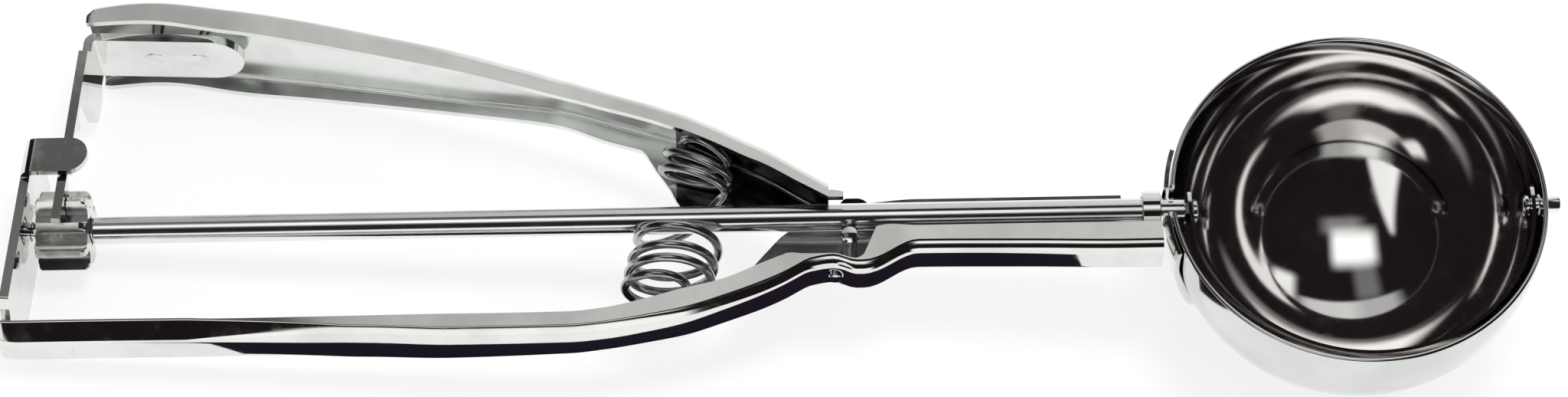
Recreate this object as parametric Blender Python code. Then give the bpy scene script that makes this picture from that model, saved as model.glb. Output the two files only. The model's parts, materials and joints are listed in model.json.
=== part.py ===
"""An ice cream scoop with a sweeping blade, modelled piece by piece.

The bowl, a pressed channel handle and an end bracket make the frame. A second
channel handle turns on a pin beside the rod. Squeezing it drives a rack down
past a pinion, which turns the long rod and sweeps the blade round the bowl. A
barrel spring between the handles opens them again.

The sizes are written in the tool's own frame: the rod runs along X with the
bowl's centre at zero and the handle towards minus X, the bowl's mouth faces
plus Z and the squeezed handle lies on the plus Y side. The last step tips that
frame until the scoop stands on its bowl, its end bracket and its squeezed handle.
"""

import math

import bmesh
import bpy
from mathutils import Matrix, Vector

# Clearances
SEAT_GAP = 0.0003        # between pieces that rest, turn or slide on each other
MESH_ROOM = 0.0012       # between the rack's shoulder and the pinion's tip circle

# Bowl and saddle
BOWL_RADIUS = 0.0240     # inside of the hemisphere
BOWL_SHEET = 0.0006
RIM_HEIGHT = 0.0034      # straight band from the rod's axis up to the rim
RIM_BEVEL = 0.00015
SADDLE_SHEET = 0.0006
SADDLE_HALF_WIDTH = 0.0078
SADDLE_TOP = 0.0026      # above the rod's axis
SADDLE_DEPTH = 0.0150    # below the rod's axis
SADDLE_TOE = 0.0060      # length over which the saddle's tongue is rounded
SADDLE_TOE_SHARE = 0.35  # width at the tip of the tongue, as a share of the full width
BOWL_OUTER = BOWL_RADIUS + BOWL_SHEET
SADDLE_INNER = BOWL_OUTER + SEAT_GAP
SADDLE_OUTER = SADDLE_INNER + SADDLE_SHEET

# Rod
ROD_RADIUS = 0.0018
ROD_NECK = 0.0016        # across the flats of the square neck that turns the blade
ROD_STAKE_RADIUS = 0.0015
ROD_STAKE_LENGTH = 0.0007
STUB_RADIUS = 0.0010     # end of the rod that turns in the bracket
STUB_PROUD = 0.0013      # how far the stub stands out of the bracket

# Blade and tip pin
BLADE_ROOM = 0.0013      # between the bowl and the swept strip at its middle
BLADE_RADIUS = BOWL_RADIUS - BLADE_ROOM
BLADE_SHIFT = 0.0005     # the strip's centre lies this far towards the tip
BLADE_SHEET = 0.0005
BLADE_WIDTH = 0.0042
BLADE_TAB = 0.0028       # straight ends past the rod's axis
TIP_PIN_RADIUS = 0.0011
TIP_PIN_PROUD = 0.0021   # past the outside of the bowl
TIP_HEAD_RADIUS = 0.0015
TIP_HEAD_LENGTH = 0.0007

# Pinion and rack
PINION_TEETH = 8
PITCH_RADIUS = 0.0043
PINION_ADDENDUM = 0.0009
PINION_DEDENDUM = 0.0011
PINION_TOOTH = 0.0013    # thickness at the pitch circle
PINION_TOOTH_TIP = 0.0008
PINION_TOOTH_ROOT = 0.0016
PINION_LENGTH = 0.0068
PINION_CHAMFER = 0.0009
PINION_SEAT = 0.0024     # across the flats of the square that carries the pinion
PINION_DISTANCE = 0.1694  # from the bowl's centre to the middle of the pinion
RACK_TOOTH = 0.00125
RACK_ADDENDUM = 0.0008
RACK_DEDENDUM = 0.0011
RACK_FLANK = math.radians(20.0)
RACK_TEETH = 5
RACK_SHEET = 0.0012
RACK_RAIL = 0.0009       # steel behind the roots of the rack's teeth
RACK_HALF_WIDTH = 0.0060
RACK_DISTANCE = 0.1695   # from the bowl's centre to the rack at half squeeze
RACK_FOOT_LENGTH = 0.0200
RACK_FOOT_HALF_WIDTH = 0.0044
RACK_BEND = 0.0016       # outside radius of the bend under the foot
RACK_END = 0.0020        # the rack's free end, below its first tooth
RACK_FLARE = 0.0010      # length over which the rack's outline changes its width

# Squeeze and sweep
BLADE_SWEEP = math.radians(178.0)
PIVOT_DISTANCE = 0.0666  # from the bowl's centre to the handle's pin
PIVOT_DROP = 0.0043      # of the pin below the rod

# Sheet of both channel handles
CHANNEL_SHEET = 0.0009
CHANNEL_CORNER = 0.0015
SECTION_STEP = 0.0036    # longest bay between two sections

# Front bearing
COLLAR_SHEET = 0.0006
COLLAR_LENGTH = 0.0024
COLLAR_FOOT_HALF_WIDTH = 0.0016
COLLAR_ROOM = 0.0018     # between the collar and the cut-away of the far flange

# Fixed handle: distance from the bowl's centre, web's distance below the rod,
# half width, height of the near flange and of the far flange from the web
SHANK_HALF_WIDTH = ROD_RADIUS + SEAT_GAP + CHANNEL_SHEET
GRIP_HALF_WIDTH = 0.0040
FIXED_END = 0.1768
SHANK_END = SADDLE_OUTER + SEAT_GAP
CUT_AWAY = SHANK_END + COLLAR_LENGTH + COLLAR_ROOM  # of the far flange beside the collar
CUT_AWAY_SLOPE = 0.0006
FIXED_STATIONS = [
    (FIXED_END, 0.0168, GRIP_HALF_WIDTH, 0.0015, 0.0015),
    (0.1764, 0.0173, GRIP_HALF_WIDTH, 0.0018, 0.0018),
    (0.1756, 0.0177, GRIP_HALF_WIDTH, 0.0022, 0.0022),
    (0.1740, 0.0179, GRIP_HALF_WIDTH, 0.0024, 0.0024),
    (0.1688, 0.0179, GRIP_HALF_WIDTH, 0.0024, 0.0024),
    (0.1486, 0.0180, GRIP_HALF_WIDTH, 0.0024, 0.0024),
    (0.1284, 0.0185, GRIP_HALF_WIDTH, 0.0030, 0.0030),
    (0.1183, 0.0189, 0.0039, 0.0035, 0.0035),
    (0.1031, 0.0187, 0.0036, 0.0035, 0.0035),
    (0.0981, 0.0182, 0.0035, 0.0036, 0.0036),
    (0.0930, 0.0173, 0.0034, 0.0040, 0.0040),
    (0.0880, 0.0162, 0.0033, 0.0044, 0.0044),
    (0.0829, 0.0144, 0.0031, 0.0040, 0.0043),
    (0.0779, 0.0124, SHANK_HALF_WIDTH, 0.0043, 0.0078),
    (0.0748, 0.0109, SHANK_HALF_WIDTH, 0.0041, 0.0096),
    (0.0733, 0.0100, SHANK_HALF_WIDTH, 0.0031, 0.0097),
    (0.0718, 0.0092, SHANK_HALF_WIDTH, 0.0022, 0.0099),
    (0.0688, 0.0087, SHANK_HALF_WIDTH, 0.0017, 0.0101),
    (0.0658, 0.0096, SHANK_HALF_WIDTH, 0.0018, 0.0112),
    (0.0648, 0.0096, SHANK_HALF_WIDTH, 0.0024, 0.0122),
    (0.0640, 0.0095, SHANK_HALF_WIDTH, 0.0042, 0.0124),
    (0.0631, 0.0092, SHANK_HALF_WIDTH, 0.0062, 0.0122),
    (0.0577, 0.0067, SHANK_HALF_WIDTH, 0.0037, 0.0102),
    (0.0440, 0.0069, SHANK_HALF_WIDTH, 0.0039, 0.0104),
    (CUT_AWAY + CUT_AWAY_SLOPE, 0.0072, SHANK_HALF_WIDTH, 0.0042, 0.0107),
    (CUT_AWAY, 0.0072, SHANK_HALF_WIDTH, 0.0042, 0.0042),
]

# Squeezed handle: the same, with the web above the rod
LUG_HALF_WIDTH = SHANK_HALF_WIDTH + SEAT_GAP + CHANNEL_SHEET
SQUEEZE_STATIONS = [
    (0.1674, 0.0292, 0.0084, 0.0022, 0.0020),
    (0.1666, 0.0299, 0.0086, 0.0030, 0.0027),
    (0.1593, 0.0307, 0.0086, 0.0036, 0.0031),
    (0.1481, 0.0292, 0.0087, 0.0040, 0.0034),
    (0.1390, 0.0277, 0.0082, 0.0040, 0.0033),
    (0.1285, 0.0256, 0.0074, 0.0039, 0.0031),
    (0.1183, 0.0234, 0.0065, 0.0037, 0.0029),
    (0.1082, 0.0210, 0.0049, 0.0034, 0.0030),
    (0.1039, 0.0199, 0.0043, 0.0033, 0.0033),
    (0.0981, 0.0179, LUG_HALF_WIDTH, 0.0031, 0.0038),
    (0.0940, 0.0165, LUG_HALF_WIDTH, 0.0030, 0.0037),
    (0.0920, 0.0158, LUG_HALF_WIDTH, 0.0030, 0.0062),
    (0.0900, 0.0150, LUG_HALF_WIDTH, 0.0030, 0.0086),
    (0.0886, 0.0145, LUG_HALF_WIDTH, 0.0030, 0.0109),
    (0.0840, 0.0123, LUG_HALF_WIDTH, 0.0030, 0.0087),
    (0.0820, 0.0112, LUG_HALF_WIDTH, 0.0030, 0.0083),
    (0.0800, 0.0101, LUG_HALF_WIDTH, 0.0030, 0.0081),
    (0.0779, 0.0090, LUG_HALF_WIDTH, 0.0029, 0.0080),
    (0.0728, 0.0056, LUG_HALF_WIDTH, 0.0027, 0.0059),
    (0.0705, 0.0041, LUG_HALF_WIDTH, 0.0026, 0.0071),
    (0.0692, 0.0033, LUG_HALF_WIDTH, 0.0026, 0.0084),
]
NEAR_TAIL = 0.0019       # the near flange runs this far past the web's end
NEAR_TAIL_TIP = 0.0008   # height of that tail at its tip
LUG_TOP = 0.0046         # top of the lug above the rod's axis
LUG_RISE = 0.0024        # length over which the lug's top rises past the web
LUG_CORNER = 0.0016
LUG_BOSS_RADIUS = 0.0028
LUG_HOLE_DISTANCE = 0.0824  # small hole in the far flange, beside the spring
LUG_HOLE_HEIGHT = 0.0080
LUG_HOLE_RADIUS = 0.0005

# Pivot pin, its washer and the rivet under the shank
PIN_RADIUS = 0.00085
PIN_BODY_RADIUS = 0.0010
PIN_HEAD_RADIUS = 0.0012
PIN_HEAD_LENGTH = 0.0009
PIN_TOP = 0.0033         # height of the head above the rod's axis
PIN_TAIL_RADIUS = 0.0015
PIN_TAIL_LENGTH = 0.0006
WASHER_RADIUS = 0.0021
WASHER_SHEET = 0.0005
SHANK_RIVET_DISTANCE = 0.0685
SHANK_RIVET_RADIUS = 0.0007
SHANK_RIVET_HEAD = 0.0011
SHANK_RIVET_PROUD = 0.0004

# End bracket
BRACKET_DISTANCE = 0.1744  # from the bowl's centre to the plate, on the rod's axis
BRACKET_LEAN = 0.070     # the plate comes this far towards the bowl per height
BRACKET_SHEET = 0.0012
BRACKET_TOP = 0.0100
BRACKET_HALF_WIDTH = 0.0060
BRACKET_NECK_HALF_WIDTH = GRIP_HALF_WIDTH - CHANNEL_SHEET - SEAT_GAP
BRACKET_FLARE_LOW = 0.0150  # below the rod, where the plate starts to widen
BRACKET_FLARE_HIGH = 0.0130
BRACKET_FOOT_LENGTH = 0.0170
BRACKET_BEND = 0.0018
BRACKET_CORNER = 0.0016  # size of the plate's rounded upper corners
GUIDE_SHEET = 0.0010
GUIDE_LOW = 0.0047       # lower and upper edge of the guide above the rod
GUIDE_HIGH = 0.0097
GUIDE_REACH = 0.0080     # from the plate's middle to the guide's rounded end
GUIDE_BEND = 0.0016
GUIDE_ROOT = 0.0020      # length of the guide inside the plate

# Rivets that hold the rack and the bracket in their channels
RIVET_RADIUS = 0.0008
RIVET_HEAD_RADIUS = 0.0014
RIVET_HEAD_HEIGHT = 0.0004
RIVET_PITCH = 0.0060
RIVET_INSET = 0.0060     # from the end of the foot to the first rivet

# Spring: its course is given by turns past the place where the wire crosses
# below the rod, the height there, the curl's half length along the rod, its half
# depth across the handle and its slope along the rod
WIRE_RADIUS = 0.0006
SPRING_AXIS_DISTANCE = 0.0882  # where the spring's axis crosses the rod
SPRING_LEAN = 0.22       # the axis moves this far towards the bowl per height
SPRING_END_RADIUS = 0.0015
SPRING_TOP_RADIUS = 0.0024
SPRING_CROSSING = math.pi  # the wire crosses below the rod on the side of the grip
SPRING_START = -4.25
SPRING_FINISH = 3.0
SPRING_COURSE = [
    (-3.75, -0.0116, SPRING_END_RADIUS, SPRING_END_RADIUS, 0.0),
    (-3.00, -0.0101, 0.0055, 0.0055, 0.0),
    (0.00, -0.0029, 0.0055, 0.0055, 0.0),
    (0.25, 0.0006, 0.0050, 0.0046, 0.0),
    (0.35, 0.0027, 0.0044, 0.0032, 0.0),
    (0.42, 0.0041, 0.0042, 0.0028, -0.10),
    (0.50, 0.0052, 0.0042, 0.0025, -0.25),
    (1.50, 0.0075, 0.0044, SPRING_TOP_RADIUS, -0.34),
    (2.50, 0.0099, 0.0036, SPRING_TOP_RADIUS, -0.42),
]
SPRING_POINTS = 10       # on each curl

# Colours of the steel
POLISHED = (0.78, 0.79, 0.77)
BRIGHT = (0.84, 0.85, 0.84)
WIRE_STEEL = (0.70, 0.71, 0.70)

# Fineness of round pieces
ROUND_STEPS = 24
SMALL_STEPS = 16
BOWL_STEPS = 60
BOWL_ARC_STEPS = 12
CORNER_STEPS = 4
BLADE_STEPS = 36
SADDLE_ROWS = 12
SADDLE_COLUMNS = 8
BEND_STEPS = 6
STAND_ROUNDS = 6         # of the search for the points that touch the ground

# Sizes that follow from those above
ROD_HOLE = ROD_RADIUS + SEAT_GAP
LEVER = RACK_DISTANCE - PIVOT_DISTANCE
SQUEEZE = BLADE_SWEEP * PITCH_RADIUS / LEVER
TOOTH_PITCH = 2.0 * math.pi * PITCH_RADIUS / PINION_TEETH
PINION_OUTER = PITCH_RADIUS + PINION_ADDENDUM
RACK_TIP = PITCH_RADIUS - RACK_ADDENDUM
RACK_ROOT = PITCH_RADIUS + RACK_DEDENDUM
RACK_BACK = RACK_ROOT + RACK_RAIL
GUIDE_FACE = max(RACK_BACK, RACK_HALF_WIDTH) + SEAT_GAP
BRACKET_SKIN = BRACKET_SHEET / 2.0 * math.hypot(1.0, BRACKET_LEAN)
BRACKET_INNER = BRACKET_DISTANCE - BRACKET_SKIN - BRACKET_LEAN * PINION_SEAT / 2.0
BRACKET_OUTER = BRACKET_DISTANCE + BRACKET_SKIN + BRACKET_LEAN * STUB_RADIUS
PIVOT = Vector((-PIVOT_DISTANCE, -PIVOT_DROP, 0.0))
ROD_AXIS = Vector((0.0, 0.0, 0.0))


def clear_objects():
    """Remove the objects that the file already holds."""
    for old in list(bpy.data.objects):
        bpy.data.objects.remove(old, do_unlink=True)


def steel(name, color, roughness):
    """Return a polished steel material of its own for one piece."""
    material = bpy.data.materials.new(name)
    material.use_nodes = True
    shader = material.node_tree.nodes["Principled BSDF"]
    shader.inputs["Base Color"].default_value = (*color, 1.0)
    shader.inputs["Metallic"].default_value = 1.0
    shader.inputs["Roughness"].default_value = roughness
    return material


def empty(name, parent, at):
    """Return an empty that carries other pieces, placed in the tool's frame."""
    holder = bpy.data.objects.new(name, None)
    bpy.context.scene.collection.objects.link(holder)
    holder.parent = parent
    origin = parent["tool_origin"] if parent else (0.0, 0.0, 0.0)
    holder.location = Vector(at) - Vector(origin)
    holder["tool_origin"] = tuple(at)
    return holder


def add_piece(name, shape, parent, color=POLISHED, roughness=0.12):
    """Turn a bmesh drawn in the tool's frame into an object under its empty."""
    bmesh.ops.recalc_face_normals(shape, faces=shape.faces)
    bmesh.ops.translate(shape, verts=shape.verts, vec=-Vector(parent["tool_origin"]))
    mesh = bpy.data.meshes.new(name)
    shape.to_mesh(mesh)
    shape.free()
    mesh.shade_smooth()
    mesh.set_sharp_from_angle(angle=math.radians(32.0))
    mesh.materials.append(steel(name, color, roughness))
    piece = bpy.data.objects.new(name, mesh)
    bpy.context.scene.collection.objects.link(piece)
    piece.parent = parent
    return piece


def cut(piece, name, shape, operation="DIFFERENCE"):
    """Cut a piece by a shape, or join the shape to it, with a Boolean modifier."""
    cutter = add_piece(name, shape, piece.parent)
    cutter.hide_render = True
    cutter.display_type = "WIRE"
    modifier = piece.modifiers.new(name, "BOOLEAN")
    modifier.operation = operation
    modifier.object = cutter


def ring_loft(rings):
    """Return a closed solid through rings of equally many points."""
    shape = bmesh.new()
    rows = [[shape.verts.new(point) for point in ring] for ring in rings]
    count = len(rows[0])
    for low, high in zip(rows, rows[1:]):
        for i in range(count):
            j = (i + 1) % count
            shape.faces.new((low[i], low[j], high[j], high[i]))
    shape.faces.new(rows[0])
    shape.faces.new(list(reversed(rows[-1])))
    return shape


def turned(profile, direction, centre, steps=ROUND_STEPS):
    """Turn a profile of (distance along the axis, radius) pairs about an axis."""
    axis = Vector(direction).normalized()
    across = axis.orthogonal().normalized()
    beside = axis.cross(across)
    rings = []
    for along, radius in profile:
        ring = []
        for i in range(steps):
            angle = 2.0 * math.pi * (i + 0.5) / steps
            spoke = across * math.cos(angle) + beside * math.sin(angle)
            ring.append(Vector(centre) + axis * along + spoke * radius)
        rings.append(ring)
    return ring_loft(rings)


def square_radius(angle, half):
    """Return how far a square's outline lies from its centre at an angle."""
    return half / max(abs(math.cos(angle)), abs(math.sin(angle)))


def box(low, high):
    """Return a box between two corners."""
    (x0, y0, z0), (x1, y1, z1) = low, high
    lower = [(x0, y0, z0), (x1, y0, z0), (x1, y1, z0), (x0, y1, z0)]
    upper = [(x, y, z1) for x, y, _ in lower]
    return ring_loft([lower, upper])


def eased(xs, values, x):
    """Return a value on the smooth curve through points, without overshoot."""
    if x <= xs[0]:
        return values[0]
    if x >= xs[-1]:
        return values[-1]
    slopes = [(values[i + 1] - values[i]) / (xs[i + 1] - xs[i]) for i in range(len(xs) - 1)]
    tangents = [slopes[0]]
    for before, after in zip(slopes, slopes[1:]):
        level = before * after <= 0.0
        tangents.append(0.0 if level else 2.0 * before * after / (before + after))
    tangents.append(slopes[-1])
    i = max(k for k in range(len(xs) - 1) if xs[k] <= x)
    span = xs[i + 1] - xs[i]
    t = (x - xs[i]) / span
    return ((1 + 2 * t) * (1 - t) ** 2 * values[i] + t * t * (3 - 2 * t) * values[i + 1]
            + t * (1 - t) ** 2 * span * tangents[i] - t * t * (1 - t) * span * tangents[i + 1])


class Channel:
    """A pressed channel whose section changes along the handle."""

    def __init__(self, stations, side):
        """Keep the stations in order of X, and which way the web lies."""
        rows = sorted((-row[0],) + row[1:] for row in stations)
        self.columns = list(zip(*rows))
        self.side = side

    def value(self, column, x):
        """Return one size of the section at X."""
        return eased(self.columns[0], self.columns[column], x)

    def web(self, x):
        """Return the Y of the web's outer face."""
        return self.side * self.value(1, x)

    def web_inner(self, x):
        """Return the Y of the web's inner face."""
        return self.web(x) - self.side * CHANNEL_SHEET

    def web_slope(self, x):
        """Return the web's slope at X."""
        step = CHANNEL_SHEET / 2.0
        return (self.web(x + step) - self.web(x - step)) / (2.0 * step)

    def section(self, x):
        """Return the outer and the inner points of the section at X."""
        web, half = self.web(x), self.value(2, x)
        near, far = self.value(3, x), self.value(4, x)
        return (self.outline(x, web, half, near, far, 0.0),
                self.outline(x, web, half, near, far, CHANNEL_SHEET))

    def outline(self, x, web, half, near, far, inset):
        """Return one face of the section, from the near edge to the far edge."""
        radius = CHANNEL_CORNER - inset
        centre_y = web - self.side * CHANNEL_CORNER
        points = [Vector((x, web - self.side * max(near, CHANNEL_CORNER), half - inset))]
        for sign in (1.0, -1.0):
            arc = []
            for i in range(CORNER_STEPS + 1):
                angle = math.pi / 2.0 * i / CORNER_STEPS
                y = centre_y + self.side * radius * math.sin(angle)
                z = half - CHANNEL_CORNER + radius * math.cos(angle)
                arc.append(Vector((x, y, sign * z)))
            points += arc if sign > 0 else arc[::-1]
        points.append(Vector((x, web - self.side * max(far, CHANNEL_CORNER), inset - half)))
        return points

    def places(self, start, end):
        """Return the X of every section between two ends."""
        knots = [x for x in self.columns[0] if start < x < end]
        knots = [start] + knots + [end]
        places = [start]
        for low, high in zip(knots, knots[1:]):
            bays = math.ceil((high - low) / SECTION_STEP)
            places += [low + (high - low) * (i + 1) / bays for i in range(bays)]
        return places


def channel_solid(channel, start, end, near_tail=(), far_tail=()):
    """Return a channel's solid, with flanges that may run on past its end."""
    shape = bmesh.new()
    rows = []
    for x in channel.places(start, end):
        outer, inner = channel.section(x)
        rows.append(([shape.verts.new(p) for p in outer], [shape.verts.new(p) for p in inner]))
    last = len(rows[0][0]) - 1
    for (outer_a, inner_a), (outer_b, inner_b) in zip(rows, rows[1:]):
        for i in range(last):
            shape.faces.new((outer_a[i], outer_a[i + 1], outer_b[i + 1], outer_b[i]))
            shape.faces.new((inner_a[i], inner_b[i], inner_b[i + 1], inner_a[i + 1]))
        for i in (0, last):
            shape.faces.new((outer_a[i], outer_b[i], inner_b[i], inner_a[i]))
    for outer, inner in (rows[0], rows[-1]):
        for i in range(last):
            tail = {0: near_tail, last - 1: far_tail}.get(i, ())
            if outer is rows[-1][0] and tail:
                corners = [outer[i], outer[i + 1], inner[i + 1], inner[i]]
                extend_flange(shape, corners, tail, reverse=i == 0)
            else:
                shape.faces.new((outer[i], outer[i + 1], inner[i + 1], inner[i]))
    return shape


def extend_flange(shape, corners, tail, reverse):
    """Carry a flange's end on through (X, web side Y, free side Y) places."""
    previous = corners
    for x, web_y, free_y in tail:
        first, second = (free_y, web_y) if reverse else (web_y, free_y)
        heights = (first, second, second, first)
        ring = [shape.verts.new((x, y, v.co.z)) for y, v in zip(heights, corners)]
        for i in range(4):
            j = (i + 1) % 4
            shape.faces.new((previous[i], previous[j], ring[j], ring[i]))
        previous = ring
    shape.faces.new(previous)


def bent_strip(stations, thickness):
    """Return a strip of sheet along a path in the XY plane.

    A station is (x, y, lower Z, upper Z), on the strip's middle surface.
    """
    rings = []
    for i, (x, y, low, high) in enumerate(stations):
        before = stations[max(i - 1, 0)]
        after = stations[min(i + 1, len(stations) - 1)]
        run = Vector((after[0] - before[0], after[1] - before[1], 0.0)).normalized()
        side = Vector((-run.y, run.x, 0.0)) * (thickness / 2.0)
        point = Vector((x, y, 0.0))
        rings.append([point - side + Vector((0, 0, low)), point + side + Vector((0, 0, low)),
                      point + side + Vector((0, 0, high)), point - side + Vector((0, 0, high))])
    return ring_loft(rings)


def bend(corner, start_run, end_run, radius):
    """Return points of a round bend at a corner between two directions."""
    start, end = Vector(start_run).normalized(), Vector(end_run).normalized()
    turn = start.angle(end)
    setback = radius * math.tan(turn / 2.0)
    entry = Vector(corner) - start * setback
    toward = (end - start * start.dot(end)).normalized()
    centre = entry + toward * radius
    points = []
    for i in range(BEND_STEPS + 1):
        angle = turn * i / BEND_STEPS
        points.append(centre - toward * radius * math.cos(angle) + start * radius * math.sin(angle))
    return points


def make_bowl(frame):
    """The hemisphere, with a slot for the rod and a hole for the tip pin."""
    profile = []
    for i in range(BOWL_ARC_STEPS):
        angle = math.pi / 2.0 * (i + 0.5) / BOWL_ARC_STEPS
        profile.append((-BOWL_OUTER * math.cos(angle), BOWL_OUTER * math.sin(angle)))
    profile += [(0.0, BOWL_OUTER), (RIM_HEIGHT - RIM_BEVEL, BOWL_OUTER),
                (RIM_HEIGHT, BOWL_OUTER - RIM_BEVEL), (RIM_HEIGHT, BOWL_RADIUS + RIM_BEVEL),
                (RIM_HEIGHT - RIM_BEVEL, BOWL_RADIUS), (0.0, BOWL_RADIUS)]
    for i in reversed(range(BOWL_ARC_STEPS)):
        angle = math.pi / 2.0 * (i + 0.5) / BOWL_ARC_STEPS
        profile.append((-BOWL_RADIUS * math.cos(angle), BOWL_RADIUS * math.sin(angle)))
    shape = turned(profile, (0, 0, 1), (0, 0, 0), BOWL_STEPS)
    bowl = add_piece("bowl", shape, frame, BRIGHT, 0.06)
    cut(bowl, "rod_slot_cutter", rod_slot())
    hole = TIP_PIN_RADIUS + SEAT_GAP
    reach = (BOWL_RADIUS - BOWL_SHEET, BOWL_OUTER + BOWL_SHEET)
    cut(bowl, "tip_hole_cutter", turned([(reach[0], hole), (reach[1], hole)], (1, 0, 0),
                                        (0, 0, 0), SMALL_STEPS))


def rod_slot():
    """The open slot that lets the rod through the wall, from the rim down."""
    ring = []
    for i in range(SMALL_STEPS + 1):
        angle = math.pi + math.pi * i / SMALL_STEPS
        ring.append((ROD_HOLE * math.cos(angle), ROD_HOLE * math.sin(angle)))
    top = RIM_HEIGHT + BOWL_SHEET
    ring += [(ROD_HOLE, top), (-ROD_HOLE, top)]
    outer, inner = -(SHANK_END + BOWL_SHEET), -(BOWL_RADIUS - 2.0 * BOWL_SHEET)
    return ring_loft([[(x, y, z) for y, z in ring] for x in (outer, inner)])


def make_saddle(frame):
    """The tongue of sheet that joins the shank to the back of the bowl."""
    low = -math.asin(SADDLE_DEPTH / SADDLE_INNER)
    high = math.asin(SADDLE_TOP / SADDLE_INNER)
    layers = []
    for radius in (SADDLE_INNER, SADDLE_OUTER):
        grid = []
        for i in range(SADDLE_ROWS + 1):
            tilt = low + (high - low) * i / SADDLE_ROWS
            up = (tilt - low) * SADDLE_INNER
            toe = min(up / SADDLE_TOE, 1.0)
            rounding = math.sqrt(1.0 - (1.0 - toe) ** 2)
            share = SADDLE_TOE_SHARE + (1.0 - SADDLE_TOE_SHARE) * rounding
            widest = math.asin(SADDLE_HALF_WIDTH / SADDLE_INNER) * share
            line = []
            for j in range(SADDLE_COLUMNS + 1):
                yaw = widest * (2.0 * j / SADDLE_COLUMNS - 1.0)
                line.append((-radius * math.cos(yaw) * math.cos(tilt), radius * math.sin(yaw),
                             radius * math.cos(yaw) * math.sin(tilt)))
            grid.append(line)
        layers.append(grid)
    shape = bmesh.new()
    inner, outer = [[[shape.verts.new(p) for p in line] for line in grid] for grid in layers]
    for i in range(SADDLE_ROWS):
        for j in range(SADDLE_COLUMNS):
            for grid in (inner, outer):
                shape.faces.new((grid[i][j], grid[i][j + 1], grid[i + 1][j + 1], grid[i + 1][j]))
        for j in (0, SADDLE_COLUMNS):
            shape.faces.new((inner[i][j], inner[i + 1][j], outer[i + 1][j], outer[i][j]))
    for j in range(SADDLE_COLUMNS):
        for i in (0, SADDLE_ROWS):
            shape.faces.new((inner[i][j], inner[i][j + 1], outer[i][j + 1], outer[i][j]))
    saddle = add_piece("bowl_saddle", shape, frame, POLISHED, 0.14)
    cut(saddle, "saddle_slot_cutter", rod_slot())


def make_fixed_handle(frame, channel):
    """The channel that is grip, neck and shank in one pressing."""
    shape = channel_solid(channel, -FIXED_END, -SHANK_END)
    handle = add_piece("fixed_handle", shape, frame, POLISHED, 0.10)
    reach = [(-SHANK_HALF_WIDTH - CHANNEL_SHEET, PIN_RADIUS + SEAT_GAP),
             (-SHANK_HALF_WIDTH + 2.0 * CHANNEL_SHEET, PIN_RADIUS + SEAT_GAP)]
    cut(handle, "fixed_pin_cutter", turned(reach, (0, 0, 1), PIVOT, SMALL_STEPS))
    for number, rivet in enumerate(bracket_rivet_places(channel), 1):
        cut(handle, f"bracket_rivet_cutter_{number}", rivet_hole(rivet))
    cut(handle, "shank_rivet_cutter", rivet_hole(shank_rivet_place(channel), SHANK_RIVET_RADIUS))


def make_squeeze_handle(mover, channel):
    """The channel that the fingers squeeze, with its lug round the pivot."""
    end = channel.columns[0][-1]
    web = channel.web(end)
    tail_low = web - channel.value(3, end)
    near_tail = []
    for share in (0.5, 0.85, 1.0):
        sink = share * share * (web - CHANNEL_CORNER - tail_low - NEAR_TAIL_TIP)
        near_tail.append((end + NEAR_TAIL * share, web - CHANNEL_CORNER - sink, tail_low))
    shape = channel_solid(channel, channel.columns[0][0], end, near_tail, lug_outline(channel, end))
    handle = add_piece("squeeze_handle", shape, mover, POLISHED, 0.10)
    hole = PIN_RADIUS + SEAT_GAP
    reach = [(-LUG_HALF_WIDTH - CHANNEL_SHEET, hole), (-SHANK_HALF_WIDTH, hole)]
    cut(handle, "lug_pin_cutter", turned(reach, (0, 0, 1), PIVOT, SMALL_STEPS))
    reach = [(along, LUG_HOLE_RADIUS) for along, _ in reach]
    place = (-LUG_HOLE_DISTANCE, LUG_HOLE_HEIGHT, 0.0)
    cut(handle, "lug_hole_cutter", turned(reach, (0, 0, 1), place, SMALL_STEPS))
    for number, rivet in enumerate(rack_rivet_places(channel), 1):
        cut(handle, f"rack_rivet_cutter_{number}", rivet_hole(rivet))


def lug_outline(channel, end):
    """Return the lug's (X, upper Y, lower Y) from the web's end to its nose."""
    nose = PIVOT.x + LUG_BOSS_RADIUS
    start_top = channel.web(end) - CHANNEL_CORNER
    start_low = channel.web(end) - channel.value(4, end)
    corner_x = nose - LUG_CORNER
    places = []
    for i in range(1, 9):
        angle = math.pi * i / 9.0
        places.append(PIVOT.x - LUG_BOSS_RADIUS * math.cos(angle))
    places = [x for x in places if x > end + SEAT_GAP] + [nose - LUG_BOSS_RADIUS * 0.01]
    outline = []
    for x in places:
        rise = min((x - end) / LUG_RISE, 1.0)
        top = start_top + (LUG_TOP - start_top) * rise * rise * (3.0 - 2.0 * rise)
        if x > corner_x:
            top -= LUG_CORNER - math.sqrt(max(LUG_CORNER ** 2 - (x - corner_x) ** 2, 0.0))
        across = max(LUG_BOSS_RADIUS ** 2 - (x - PIVOT.x) ** 2, 0.0)
        low = PIVOT.y - math.sqrt(across)
        outline.append((x, top, min(low, start_low) if x < PIVOT.x else low))
    return outline


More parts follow.
